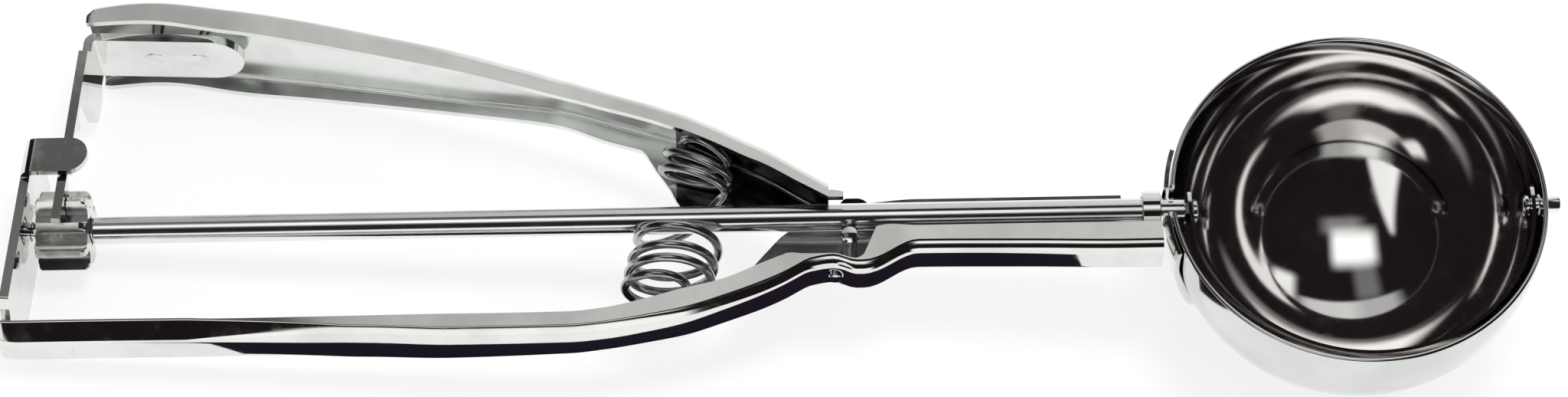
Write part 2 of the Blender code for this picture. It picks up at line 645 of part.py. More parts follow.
def make_rod(rotor):
    """The rod, with its square neck and seat, its stub and its staked end."""
    tab = BLADE_RADIUS - BLADE_SHIFT
    shoulder = -(tab + SEAT_GAP)
    stake = -(tab - BLADE_SHEET - SEAT_GAP)
    seat_low = -(PINION_DISTANCE + PINION_LENGTH / 2.0)
    seat_high = -(PINION_DISTANCE - PINION_LENGTH / 2.0) + SEAT_GAP
    thrust = -(BRACKET_INNER - SEAT_GAP)
    end = -(BRACKET_OUTER + STUB_PROUD)
    tip = STUB_RADIUS * 0.35
    plan = [(end, STUB_RADIUS - tip, False), (end + tip, STUB_RADIUS, False),
            (thrust, STUB_RADIUS, False), (thrust, PINION_SEAT / 2.0, False),
            (seat_low, PINION_SEAT / 2.0, False), (seat_low, PINION_SEAT / 2.0, True),
            (seat_high, PINION_SEAT / 2.0, True), (seat_high, ROD_RADIUS, False),
            (shoulder, ROD_RADIUS, False), (shoulder, ROD_NECK / 2.0, True),
            (stake, ROD_NECK / 2.0, True), (stake, ROD_STAKE_RADIUS, False),
            (stake + ROD_STAKE_LENGTH * 0.5, ROD_STAKE_RADIUS, False),
            (stake + ROD_STAKE_LENGTH, ROD_STAKE_RADIUS * 0.6, False)]
    rings = []
    for x, radius, square in plan:
        ring = []
        for i in range(ROUND_STEPS):
            angle = 2.0 * math.pi * i / ROUND_STEPS
            reach = square_radius(angle, radius) if square else radius
            ring.append((x, reach * math.cos(angle), reach * math.sin(angle)))
        rings.append(ring)
    shape = ring_loft(rings)
    bmesh.ops.remove_doubles(shape, verts=shape.verts, dist=1e-7)
    bmesh.ops.dissolve_degenerate(shape, edges=shape.edges, dist=1e-7)
    add_piece("rod", shape, rotor, BRIGHT, 0.08)


def make_pinion(rotor):
    """The coarse pinion, chamfered at both ends, on the rod's square seat."""
    outline = []
    for tooth in range(PINION_TEETH):
        middle = 2.0 * math.pi * (tooth + 0.5) / PINION_TEETH
        flank = [(PITCH_RADIUS - PINION_DEDENDUM, PINION_TOOTH_ROOT), (PITCH_RADIUS, PINION_TOOTH),
                 (PINION_OUTER, PINION_TOOTH_TIP)]
        rising = [(radius, middle - width / 2.0 / radius) for radius, width in flank]
        falling = [(radius, middle + width / 2.0 / radius) for radius, width in reversed(flank)]
        outline += rising + falling
    low, high = -(PINION_DISTANCE + PINION_LENGTH / 2.0), -(PINION_DISTANCE - PINION_LENGTH / 2.0)
    limit = PINION_OUTER - PINION_CHAMFER
    ends = [(low, limit), (low + PINION_CHAMFER * 0.5, PINION_OUTER),
            (high - PINION_CHAMFER, PINION_OUTER), (high, limit)]
    rings = []
    for x, widest in ends:
        ring = []
        for radius, angle in outline:
            reach = min(radius, widest)
            ring.append((x, reach * math.sin(angle), reach * math.cos(angle)))
        rings.append(ring)
    pinion = add_piece("pinion", ring_loft(rings), rotor, POLISHED, 0.16)
    half = PINION_SEAT / 2.0 + SEAT_GAP
    bore = box((low - PINION_CHAMFER, -half, -half), (high + PINION_CHAMFER, half, half))
    cut(pinion, "pinion_bore_cutter", bore)


def make_blade(rotor):
    """The curved strip that sweeps the bowl, with a flat eye at each end."""
    middle = BLADE_RADIUS - BLADE_SHEET / 2.0
    half = BLADE_WIDTH / 2.0
    round_off = half * 0.9
    stations = []
    for share in (1.0, 0.85, 0.5, 0.2):
        rise = BLADE_TAB - round_off + round_off * share
        reach = half * math.sqrt(1.0 - (share * 0.93) ** 2)
        stations.append((BLADE_SHIFT - middle, rise, -reach, reach))
    for i in range(BLADE_STEPS + 1):
        angle = math.pi + math.pi * i / BLADE_STEPS
        stations.append((BLADE_SHIFT + middle * math.cos(angle), middle * math.sin(angle),
                         -half, half))
    for x, y, low, high in reversed(stations[:4]):
        stations.append((2.0 * BLADE_SHIFT - x, y, low, high))
    blade = add_piece("scraper_blade", bent_strip(stations, BLADE_SHEET), rotor, BRIGHT, 0.08)
    half_neck = ROD_NECK / 2.0 + SEAT_GAP
    left = -(BLADE_RADIUS - BLADE_SHIFT)
    cut(blade, "neck_cutter", box((left - BLADE_SHEET, -half_neck, -half_neck),
                                  (left + 2.0 * BLADE_SHEET, half_neck, half_neck)))
    right = BLADE_RADIUS + BLADE_SHIFT
    hole = TIP_PIN_RADIUS + SEAT_GAP
    cut(blade, "blade_pin_cutter", turned([(right - 2.0 * BLADE_SHEET, hole),
                                           (right + BLADE_SHEET, hole)], (1, 0, 0),
                                          (0, 0, 0), SMALL_STEPS))


def make_tip_pin(rotor):
    """The headed pin that carries the blade's far end through the wall."""
    seat = BLADE_RADIUS + BLADE_SHIFT - BLADE_SHEET - SEAT_GAP
    end = BOWL_OUTER + TIP_PIN_PROUD
    tip = TIP_PIN_RADIUS * 0.25
    profile = [(seat - TIP_HEAD_LENGTH, TIP_HEAD_RADIUS * 0.7),
               (seat - TIP_HEAD_LENGTH * 0.6, TIP_HEAD_RADIUS), (seat, TIP_HEAD_RADIUS),
               (seat, TIP_PIN_RADIUS), (end - tip, TIP_PIN_RADIUS), (end, TIP_PIN_RADIUS - tip)]
    add_piece("tip_pin", turned(profile, (1, 0, 0), (0, 0, 0), SMALL_STEPS), rotor, BRIGHT, 0.08)


def squeeze_direction():
    """Return the rack's upward direction, leaning by half the squeeze."""
    half = SQUEEZE / 2.0
    return Vector((math.sin(half), math.cos(half), 0.0))


def rack_foot_line(channel):
    """Return the middle of the foot's two ends, under the handle's web."""
    start = channel.columns[0][0]
    inset = CHANNEL_SHEET + SEAT_GAP + RACK_SHEET / 2.0
    ends = []
    for x in (start + CHANNEL_SHEET, start + RACK_FOOT_LENGTH):
        ends.append(Vector((x, channel.web(x) - inset, 0.0)))
    dip = sag(channel, ends[0], ends[1], inset)
    return [end - Vector((0.0, dip, 0.0)) for end in ends]


def sag(channel, head, toe, inset):
    """Return how far the web dips below the foot's straight line."""
    slope = (toe.y - head.y) / (toe.x - head.x)
    dips = []
    for i in range(21):
        x = channel.columns[0][0] + RACK_FOOT_LENGTH * i / 20.0
        dips.append(head.y + slope * (x - head.x) + inset - channel.web(x))
    return max(max(dips), 0.0)


def rack_rivet_places(channel):
    """Return (point on the web's outer face, direction out, foot's far face)."""
    head, toe = rack_foot_line(channel)
    run = (toe - head).normalized()
    out = Vector((-run.y, run.x, 0.0))
    places = []
    for i in range(2):
        on_foot = toe - run * (RIVET_INSET + RIVET_PITCH * i)
        web = Vector((on_foot.x, channel.web(on_foot.x), 0.0))
        places.append((web, out, on_foot - out * (RACK_SHEET / 2.0)))
    return places


def bracket_foot_end():
    """Return the X of the bracket foot's end."""
    return -(BRACKET_DISTANCE - BRACKET_FOOT_LENGTH)


def bracket_x(y):
    """Return the X of the bracket plate's middle at a height."""
    return BRACKET_LEAN * y - BRACKET_DISTANCE


def bracket_foot_y(channel):
    """Return the Y of the foot's middle, above the fixed handle's web."""
    highest = max(channel.web_inner(x) for x in (bracket_foot_end(), -BRACKET_INNER))
    return highest + SEAT_GAP + BRACKET_SHEET / 2.0


def bracket_rivet_places(channel):
    """Return (point on the web's outer face, direction out, foot's far face)."""
    places = []
    for i in range(2):
        x = bracket_foot_end() - RIVET_INSET * 0.6 - RIVET_PITCH * i
        inside = Vector((x, bracket_foot_y(channel) + BRACKET_SHEET / 2.0, 0.0))
        places.append((Vector((x, channel.web(x), 0.0)), Vector((0, -1, 0)), inside))
    return places


def shank_rivet_place(channel):
    """Return the place of the rivet under the shank, in the same form."""
    x = -SHANK_RIVET_DISTANCE
    return (Vector((x, channel.web(x), 0.0)), Vector((0, -1, 0)),
            Vector((x, channel.web_inner(x), 0.0)))


def rivet_hole(place, radius=RIVET_RADIUS):
    """Return the cutter for a rivet's hole through the sheets it joins."""
    web, out, inside = place
    depth = (web - inside).dot(out)
    hole = radius + SEAT_GAP
    profile = [(-CHANNEL_SHEET, hole), (depth + CHANNEL_SHEET, hole)]
    return turned(profile, out, inside, SMALL_STEPS)


def make_rivet(name, place, parent, radius=RIVET_RADIUS, head=RIVET_HEAD_RADIUS, proud=0.0):
    """A rivet with a low head inside and a tail that is flush or domed."""
    web, out, inside = place
    depth = (web - inside).dot(out)
    profile = [(-SEAT_GAP - RIVET_HEAD_HEIGHT, head * 0.6),
               (-SEAT_GAP - RIVET_HEAD_HEIGHT * 0.4, head), (-SEAT_GAP, head), (-SEAT_GAP, radius)]
    if proud:
        profile += [(depth + SEAT_GAP, radius), (depth + SEAT_GAP, head),
                    (depth + SEAT_GAP + proud, head * 0.7)]
    else:
        profile += [(depth, radius)]
    add_piece(name, turned(profile, out, inside, SMALL_STEPS), parent, BRIGHT, 0.12)


def make_rack(mover, channel):
    """The bent strip with the toothed rail, foot first and rail last."""
    up = squeeze_direction()
    level = Vector((-up.y, up.x, 0.0))
    tangent = PIVOT + level * LEVER
    head, toe = rack_foot_line(channel)
    run = (head - toe).normalized()
    offset = (head - tangent).cross(up).z / run.cross(up).z
    corner = head - run * offset
    stations = []
    for share in (0.0, 0.15, 0.5, 1.0):
        reach = RACK_FOOT_HALF_WIDTH * math.sqrt(max(1.0 - (1.0 - share) ** 2, 0.12))
        point = toe + run * RACK_FOOT_HALF_WIDTH * share
        stations.append((point.x, point.y, -reach, reach))
    for point in bend(corner, run, -up, RACK_BEND - RACK_SHEET / 2.0):
        width = RACK_FOOT_HALF_WIDTH
        stations.append((point.x, point.y, -width, width))
    for height, low, high in rack_edges(corner, tangent, up):
        point = tangent + up * height
        stations.append((point.x, point.y, low, high))
    rack = add_piece("rack", bent_strip(stations, RACK_SHEET), mover, POLISHED, 0.14)
    for number, rivet in enumerate(rack_rivet_places(channel), 1):
        cut(rack, f"foot_rivet_cutter_{number}", rivet_hole(rivet))


def rack_edges(corner, tangent, up):
    """Return (height on the rack's line, far edge, near edge) from the bend down."""
    first = -tangent.y / up.y
    last = first + (RACK_TEETH - 1) * TOOTH_PITCH
    flank = math.tan(RACK_FLANK)
    root_half = RACK_TOOTH / 2.0 + RACK_DEDENDUM * flank
    tip_half = RACK_TOOTH / 2.0 - RACK_ADDENDUM * flank
    shoulder = last + TOOTH_PITCH - root_half
    travel = LEVER * 2.0 * math.sin(SQUEEZE / 2.0)
    clear = first + travel + PINION_OUTER + MESH_ROOM
    top = (corner - tangent).dot(up)
    below_bend = top - RACK_BEND * 1.5
    edges = [(below_bend, -RACK_FOOT_HALF_WIDTH, RACK_FOOT_HALF_WIDTH),
             (below_bend - RACK_FLARE, -RACK_HALF_WIDTH, RACK_BACK),
             (clear + RACK_FLARE, -RACK_HALF_WIDTH, RACK_BACK),
             (clear, -RACK_HALF_WIDTH + RACK_FLARE, RACK_BACK),
             (clear - RACK_FLARE, RACK_TIP - RACK_FLARE, RACK_BACK),
             (shoulder + RACK_FLARE, RACK_TIP, RACK_BACK),
             (shoulder, RACK_ROOT, RACK_BACK)]
    for tooth in reversed(range(RACK_TEETH)):
        middle = first + tooth * TOOTH_PITCH
        edges += [(middle + root_half, RACK_ROOT, RACK_BACK), (middle + tip_half, RACK_TIP, RACK_BACK),
                  (middle - tip_half, RACK_TIP, RACK_BACK), (middle - root_half, RACK_ROOT, RACK_BACK)]
    end = first - RACK_END
    edges += [(end + RACK_RAIL * 0.3, RACK_ROOT, RACK_BACK),
              (end, RACK_ROOT + RACK_RAIL * 0.3, RACK_BACK - RACK_RAIL * 0.3)]
    return edges


def make_bracket(frame, channel):
    """The end bracket: foot, neck, flared plate and the guide over the rack."""
    foot_y = bracket_foot_y(channel)
    neck = BRACKET_NECK_HALF_WIDTH
    stations = []
    for share in (0.0, 0.3, 1.0):
        reach = neck * math.sqrt(max(1.0 - (1.0 - share) ** 2, 0.2))
        stations.append((bracket_foot_end() - neck * share, foot_y, -reach, reach))
    corner = Vector((bracket_x(foot_y), foot_y, 0.0))
    for point in bend(corner, (-1, 0, 0), (BRACKET_LEAN, 1, 0), BRACKET_BEND - BRACKET_SHEET / 2.0):
        stations.append((point.x, point.y, -neck, neck))
    for i in range(7):
        share = i / 6.0
        ease = share * share * (3.0 - 2.0 * share)
        y = -BRACKET_FLARE_LOW + (BRACKET_FLARE_LOW - BRACKET_FLARE_HIGH) * share
        width = neck + (BRACKET_HALF_WIDTH - neck) * ease
        stations.append((bracket_x(y), y, -width, width))
    for drop, narrow in ((1.0, 0.0), (0.3, 0.3), (0.0, 1.0)):
        y = BRACKET_TOP - BRACKET_CORNER * drop
        width = BRACKET_HALF_WIDTH - BRACKET_CORNER * narrow
        stations.append((bracket_x(y), y, -width, width))
    bracket = add_piece("end_bracket", bent_strip(stations, BRACKET_SHEET), frame, POLISHED, 0.12)
    cut(bracket, "guide_joiner", guide_shape(), "UNION")
    hole = STUB_RADIUS + SEAT_GAP
    reach = [(-BRACKET_OUTER - BRACKET_SHEET, hole), (-BRACKET_INNER + BRACKET_SHEET, hole)]
    cut(bracket, "stub_cutter", turned(reach, (1, 0, 0), (0, 0, 0), SMALL_STEPS))
    for number, rivet in enumerate(bracket_rivet_places(channel), 1):
        cut(bracket, f"foot_hole_cutter_{number}", rivet_hole(rivet))


def guide_shape():
    """The guide that holds the rack to the pinion, bent from the plate's edge."""
    middle_z = GUIDE_FACE + GUIDE_SHEET / 2.0
    corner = Vector((-BRACKET_DISTANCE, middle_z, 0.0))
    start = Vector((-BRACKET_DISTANCE, BRACKET_HALF_WIDTH - GUIDE_ROOT, 0.0))
    path = [start] + bend(corner, (0, 1, 0), (1, 0, 0), GUIDE_BEND - GUIDE_SHEET / 2.0)
    tip = -BRACKET_DISTANCE + GUIDE_REACH
    half = (GUIDE_HIGH - GUIDE_LOW) / 2.0
    centre = (GUIDE_HIGH + GUIDE_LOW) / 2.0
    stations = [(point.x, point.y, centre - half, centre + half) for point in path]
    for share in (0.0, 0.4, 0.7, 0.9, 1.0):
        reach = half * math.sqrt(max(1.0 - share * share, 0.1))
        stations.append((tip - half * (1.0 - share), middle_z, centre - reach, centre + reach))
    shape = bent_strip(stations, GUIDE_SHEET)
    turn = Matrix(((1, 0, 0), (0, 0, 1), (0, 1, 0)))
    for vertex in shape.verts:
        vertex.co = turn @ vertex.co
        vertex.co.x += BRACKET_LEAN * vertex.co.y
    return shape


def make_front_bearing(frame, channel):
    """The collar that carries the rod beside the bowl, on a foot in the shank."""
    bore = ROD_HOLE
    outer = bore + COLLAR_SHEET
    low = -(SHANK_END + COLLAR_LENGTH)
    high = -SHANK_END
    floor = max(channel.web_inner(low), channel.web_inner(high)) + SEAT_GAP
    half = COLLAR_FOOT_HALF_WIDTH
    start = math.asin(half / outer)
    ring = [(floor, -half)]
    for i in range(ROUND_STEPS + 1):
        angle = start + (2.0 * math.pi - 2.0 * start) * i / ROUND_STEPS
        ring.append((-outer * math.cos(angle), -outer * math.sin(angle)))
    ring.append((floor, half))
    solid = ring_loft([[(x, y, z) for y, z in ring] for x in (low, high)])
    bearing = add_piece("front_bearing", solid, frame, POLISHED, 0.12)
    reach = [(low - COLLAR_SHEET, bore), (high + COLLAR_SHEET, bore)]
    cut(bearing, "bearing_bore_cutter", turned(reach, (1, 0, 0), (0, 0, 0), ROUND_STEPS))


def make_pivot(frame):
    """The pin that the squeezed handle turns on, and the washer on its tail."""
    flange = -SHANK_HALF_WIDTH + CHANNEL_SHEET
    washer_top = -(LUG_HALF_WIDTH + SEAT_GAP)
    washer_low = washer_top - WASHER_SHEET
    tail = washer_low - SEAT_GAP
    profile = [(tail - PIN_TAIL_LENGTH, PIN_TAIL_RADIUS * 0.6),
               (tail - PIN_TAIL_LENGTH * 0.4, PIN_TAIL_RADIUS), (tail, PIN_TAIL_RADIUS),
               (tail, PIN_RADIUS), (flange + SEAT_GAP, PIN_RADIUS),
               (flange + SEAT_GAP, PIN_BODY_RADIUS), (PIN_TOP - PIN_HEAD_LENGTH, PIN_BODY_RADIUS),
               (PIN_TOP - PIN_HEAD_LENGTH, PIN_HEAD_RADIUS),
               (PIN_TOP - PIN_HEAD_LENGTH * 0.3, PIN_HEAD_RADIUS),
               (PIN_TOP, PIN_HEAD_RADIUS * 0.7)]
    add_piece("pivot_pin", turned(profile, (0, 0, 1), PIVOT, SMALL_STEPS), frame, BRIGHT, 0.1)
    solid = [(washer_low, WASHER_RADIUS), (washer_top, WASHER_RADIUS)]
    washer = add_piece("pivot_washer", turned(solid, (0, 0, 1), PIVOT), frame, POLISHED, 0.2)
    hole = PIN_RADIUS + SEAT_GAP
    reach = [(washer_low - WASHER_SHEET, hole), (washer_top + WASHER_SHEET, hole)]
    cut(washer, "washer_bore_cutter", turned(reach, (0, 0, 1), PIVOT, SMALL_STEPS))


def spring_centre(y):
    """Return the X of the spring's leaning axis at a height."""
    return -SPRING_AXIS_DISTANCE + SPRING_LEAN * y


def spring_leg(channel, radius, angle, side):
    """Return the two ends of a straight leg, square to a handle's web."""
    x = -SPRING_AXIS_DISTANCE
    for _ in range(8):
        x = spring_centre(channel.web_inner(x)) + radius * math.cos(angle)
    slope = channel.web_slope(x)
    out = Vector((-slope, 1.0, 0.0)).normalized() * side
    foot = Vector((x, channel.web_inner(x), radius * math.sin(angle)))
    clear = SEAT_GAP + WIRE_RADIUS * abs(slope)
    return foot + out * clear, foot + out * (clear + 2.0 * WIRE_RADIUS)


def spring_angle(turns):
    """Return the angle about the spring's axis at a number of turns."""
    return SPRING_CROSSING + 2.0 * math.pi * turns


def spring_points(fixed, squeezed):
    """Return the spring's centre line, from the fixed handle to the other."""
    low_leg = spring_leg(fixed, SPRING_END_RADIUS, spring_angle(SPRING_START), 1.0)
    high_leg = spring_leg(squeezed, SPRING_TOP_RADIUS, spring_angle(SPRING_FINISH), -1.0)
    knots = [(SPRING_START, low_leg[1].y, SPRING_END_RADIUS, SPRING_END_RADIUS, 0.0)]
    knots += SPRING_COURSE
    knots += [(SPRING_FINISH, high_leg[1].y, SPRING_TOP_RADIUS, SPRING_TOP_RADIUS, 0.0)]
    turns, heights, lengths, depths, slopes = zip(*knots)
    steps = math.ceil((SPRING_FINISH - SPRING_START) * SPRING_POINTS)
    points = [low_leg[0]]
    for i in range(steps + 1):
        turn = SPRING_START + (SPRING_FINISH - SPRING_START) * i / steps
        y = eased(turns, heights, turn)
        along = eased(turns, lengths, turn) * math.cos(spring_angle(turn))
        across = eased(turns, depths, turn) * math.sin(spring_angle(turn))
        lift = eased(turns, slopes, turn) * along
        points.append(Vector((spring_centre(y) + along, y + lift, across)))
    points[1] = low_leg[1]
    points[-1] = high_leg[1]
    points.append(high_leg[0])
    return points


def least_gap(points, width):
    """Return the least gap between parts of a tube that aren't neighbours."""
    steps = [0.0]
    for a, b in zip(points, points[1:]):
        steps.append(steps[-1] + (b - a).length)
    nearest = math.inf
    for i, a in enumerate(points):
        for j in range(i + 1, len(points)):
            if steps[j] - steps[i] > 4.0 * width:
                nearest = min(nearest, (points[j] - a).length)
    return nearest - width


def make_spring(frame, fixed, squeezed):
    """The barrel spring, one unbroken wire with the rod between its curls."""
    points = spring_points(fixed, squeezed)
    gap = least_gap(points, 2.0 * WIRE_RADIUS)
    print(f"spring: least gap to itself {gap * 1000.0:.2f} mm over {len(points)} points")
    curve = bpy.data.curves.new("spring", "CURVE")
    curve.dimensions = "3D"
    curve.bevel_depth = WIRE_RADIUS
    curve.bevel_resolution = 1
    curve.use_fill_caps = True
    spline = curve.splines.new("POLY")
    spline.points.add(len(points) - 1)
    for place, point in zip(spline.points, points):
        place.co = (*(point - Vector(frame["tool_origin"])), 1.0)
    curve.materials.append(steel("spring", WIRE_STEEL, 0.16))
    spring = bpy.data.objects.new("spring", curve)
    bpy.context.scene.collection.objects.link(spring)
    spring.parent = frame


def corners_of(pieces):
    """Return the corners of finished pieces, in the scene's frame."""
    graph = bpy.context.evaluated_depsgraph_get()
    corners = []
    for piece in pieces:
        solid = piece.evaluated_get(graph)
        mesh = solid.to_mesh()
        corners += [solid.matrix_world @ vertex.co for vertex in mesh.vertices]
        solid.to_mesh_clear()
    return corners


def resting_direction(bracket, handle):
    """Return the direction down when bowl, bracket and handle touch the ground."""
    down = Vector((0.0, 0.0, -1.0))
    for _ in range(STAND_ROUNDS):
        first = max(bracket, key=down.dot)
        second = max(handle, key=down.dot)
        across = first.cross(second)
        level = (second - first).cross(across) * (BOWL_OUTER / across.length_squared)
        rest = math.sqrt(1.0 - level.length_squared) / across.length
        down = level + across * (rest if across.z < 0.0 else -rest)
    return down


def stand_up(root):
    """Tip the tool until bowl, bracket and handle touch the ground, and centre it."""
    bpy.context.view_layer.update()
    objects = bpy.data.objects
    down = resting_direction(corners_of([objects["end_bracket"]]),
                             corners_of([objects["squeeze_handle"]]))
    along = Vector((1.0, 0.0, 0.0))
    along = (along - down * along.dot(down)).normalized()
    root.rotation_euler = Matrix((along, along.cross(down), -down)).to_euler()
    bpy.context.view_layer.update()
    pieces = [piece for piece in objects if piece.type != "EMPTY" and not piece.hide_render]
    corners = corners_of(pieces)
    low = [min(corner[i] for corner in corners) for i in range(3)]
    high = [max(corner[i] for corner in corners) for i in range(3)]
    root.location = (-(low[0] + high[0]) / 2.0, -(low[1] + high[1]) / 2.0, -low[2])
    bpy.context.view_layer.update()
    print("tool frame in the scene:", [[round(v, 6) for v in row] for row in root.matrix_world])


def build():
    """Make every piece, sub-assembly by sub-assembly."""
    clear_objects()
    root = empty("scoop", None, (0.0, 0.0, 0.0))
    frame = empty("frame_axis", root, (0.0, 0.0, 0.0))
    mover = empty("squeeze_axis", root, PIVOT)
    rotor = empty("rod_axis", root, ROD_AXIS)
    fixed = Channel(FIXED_STATIONS, -1.0)
    squeezed = Channel(SQUEEZE_STATIONS, 1.0)

    make_bowl(frame)
    make_saddle(frame)
    make_fixed_handle(frame, fixed)
    make_front_bearing(frame, fixed)
    make_bracket(frame, fixed)
    for number, place in enumerate(bracket_rivet_places(fixed), 1):
        make_rivet(f"bracket_rivet_{number}", place, frame)
    make_rivet("shank_rivet", shank_rivet_place(fixed), frame, SHANK_RIVET_RADIUS,
               SHANK_RIVET_HEAD, SHANK_RIVET_PROUD)
    make_pivot(frame)

    make_squeeze_handle(mover, squeezed)
    make_rack(mover, squeezed)
    for number, place in enumerate(rack_rivet_places(squeezed), 1):
        make_rivet(f"rack_rivet_{number}", place, mover)

    make_rod(rotor)
    make_pinion(rotor)
    make_blade(rotor)
    make_tip_pin(rotor)
    make_spring(frame, fixed, squeezed)
    stand_up(root)


build()
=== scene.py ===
"""Studio view of an ice cream scoop in mirror-polished steel.

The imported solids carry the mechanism. Over them this script builds the same
pieces again with finer curves, rounded edges and polished-steel materials, so
that the reflections run as smoothly as they do on pressed and buffed sheet.
The sizes are written in the tool's own frame: the rod runs along X with the
bowl's centre at zero and the grip towards minus X, the bowl's mouth faces plus
Z and the squeezed handle lies on the plus Y side. All sizes are in metres.
"""

import json
import logging
import math
from dataclasses import dataclass
from enum import Enum

import bmesh
import bpy
from mathutils import Matrix, Vector

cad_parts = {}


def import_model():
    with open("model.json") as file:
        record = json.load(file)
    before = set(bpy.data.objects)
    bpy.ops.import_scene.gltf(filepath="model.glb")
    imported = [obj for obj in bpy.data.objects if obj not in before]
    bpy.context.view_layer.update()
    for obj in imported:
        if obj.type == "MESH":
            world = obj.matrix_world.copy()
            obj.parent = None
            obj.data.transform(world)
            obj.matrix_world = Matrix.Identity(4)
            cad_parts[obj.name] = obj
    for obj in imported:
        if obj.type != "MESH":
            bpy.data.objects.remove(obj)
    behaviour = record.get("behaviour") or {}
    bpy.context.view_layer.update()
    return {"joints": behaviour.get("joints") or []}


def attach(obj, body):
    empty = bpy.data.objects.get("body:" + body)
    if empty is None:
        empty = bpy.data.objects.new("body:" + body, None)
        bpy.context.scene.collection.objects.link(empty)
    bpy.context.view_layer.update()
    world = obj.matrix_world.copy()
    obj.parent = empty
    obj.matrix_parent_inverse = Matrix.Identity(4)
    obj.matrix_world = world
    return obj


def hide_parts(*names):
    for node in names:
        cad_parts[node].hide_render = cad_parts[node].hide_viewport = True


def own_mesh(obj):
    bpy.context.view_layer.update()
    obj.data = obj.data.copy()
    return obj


log = logging.getLogger("scoop")

Point = tuple[float, float, float]
Station = tuple[float, float, float, float, float]

SEAT = 0.0003            # air between pieces that rest, turn or slide on each other
SHARP = math.radians(30.0)    # edges that turn more than this are shaded sharp
ROUNDED = math.radians(40.0)  # edges that turn more than this are rounded
FACING = 0.7             # least part of a normal along the side that a face looks to
WHITE = (1.0, 1.0, 1.0, 1.0)
MARK_SCALE = 310.0       # handling marks to a metre
MARK_RANGE = (0.52, 0.78)     # noise from the first mark to the fullest
TONE_RANGE = (0.32, 0.62)     # noise from the darkest tone to the lightest
CLOUD_SHARE = 1.7        # clouds of tone to each wave of the sheet
POLISH_STRENGTH = 0.6
ALONG: Point = (1.0, 0.0, 0.0)
UPRIGHT: Point = (0.0, 0.0, 1.0)


class Body(Enum):
    """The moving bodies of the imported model."""

    FRAME = "frame"
    GRIP = "squeezed_grip"
    ROTOR = "rotor"


class Slot(Enum):
    """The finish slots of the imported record."""

    POLISHED = "polished_steel"
    BRIGHT = "bright_steel"
    WIRE = "spring_wire"


class Join(Enum):
    """How a tool shape changes a piece."""

    CUT = "DIFFERENCE"
    ADD = "UNION"


class Graph:
    """A short way to write a node tree."""

    def __init__(self, tree: bpy.types.NodeTree) -> None:
        """Start an empty tree.

        Args:
            tree: The node tree to fill.
        """
        self.tree = tree
        self.tree.nodes.clear()

    def add(self, kind: str, **inputs: object) -> bpy.types.Node:
        """Add a node and set its inputs or link them.

        Args:
            kind: The node's type name.
            **inputs: Input names with spaces as underscores, and values or sockets.

        Returns:
            The new node.
        """
        node = self.tree.nodes.new(kind)
        for name, value in inputs.items():
            key = name.replace("_", " ")
            socket = node.inputs[int(key[1:])] if key[1:].isdigit() else node.inputs[key]
            if isinstance(value, bpy.types.NodeSocket):
                self.tree.links.new(value, socket)
            else:
                socket.default_value = value
        return node

    def math(self, operation: str, *values: object) -> bpy.types.NodeSocket:
        """Add a math node.

        Args:
            operation: The operation's name.
            *values: Numbers or sockets.

        Returns:
            The result's socket.
        """
        node = self.add("ShaderNodeMath", **{f"i{i}": v for i, v in enumerate(values)})
        node.operation = operation
        return node.outputs[0]

    def ramp(self, factor: bpy.types.NodeSocket,
             stops: list[tuple[float, Point]]) -> bpy.types.NodeSocket:
        """Add a colour ramp that eases from stop to stop.

        Args:
            factor: The socket that drives the ramp.
            stops: Positions and colours in order.

        Returns:
            The colour's socket.
        """
        node = self.add("ShaderNodeValToRGB", Fac=factor)
        node.color_ramp.interpolation = "EASE"
        elements = node.color_ramp.elements
        while len(elements) < len(stops):
            elements.new(1.0)
        for element, (position, color) in zip(elements, stops):
            element.position = position
            element.color = (*color, 1.0)
        return node.outputs["Color"]


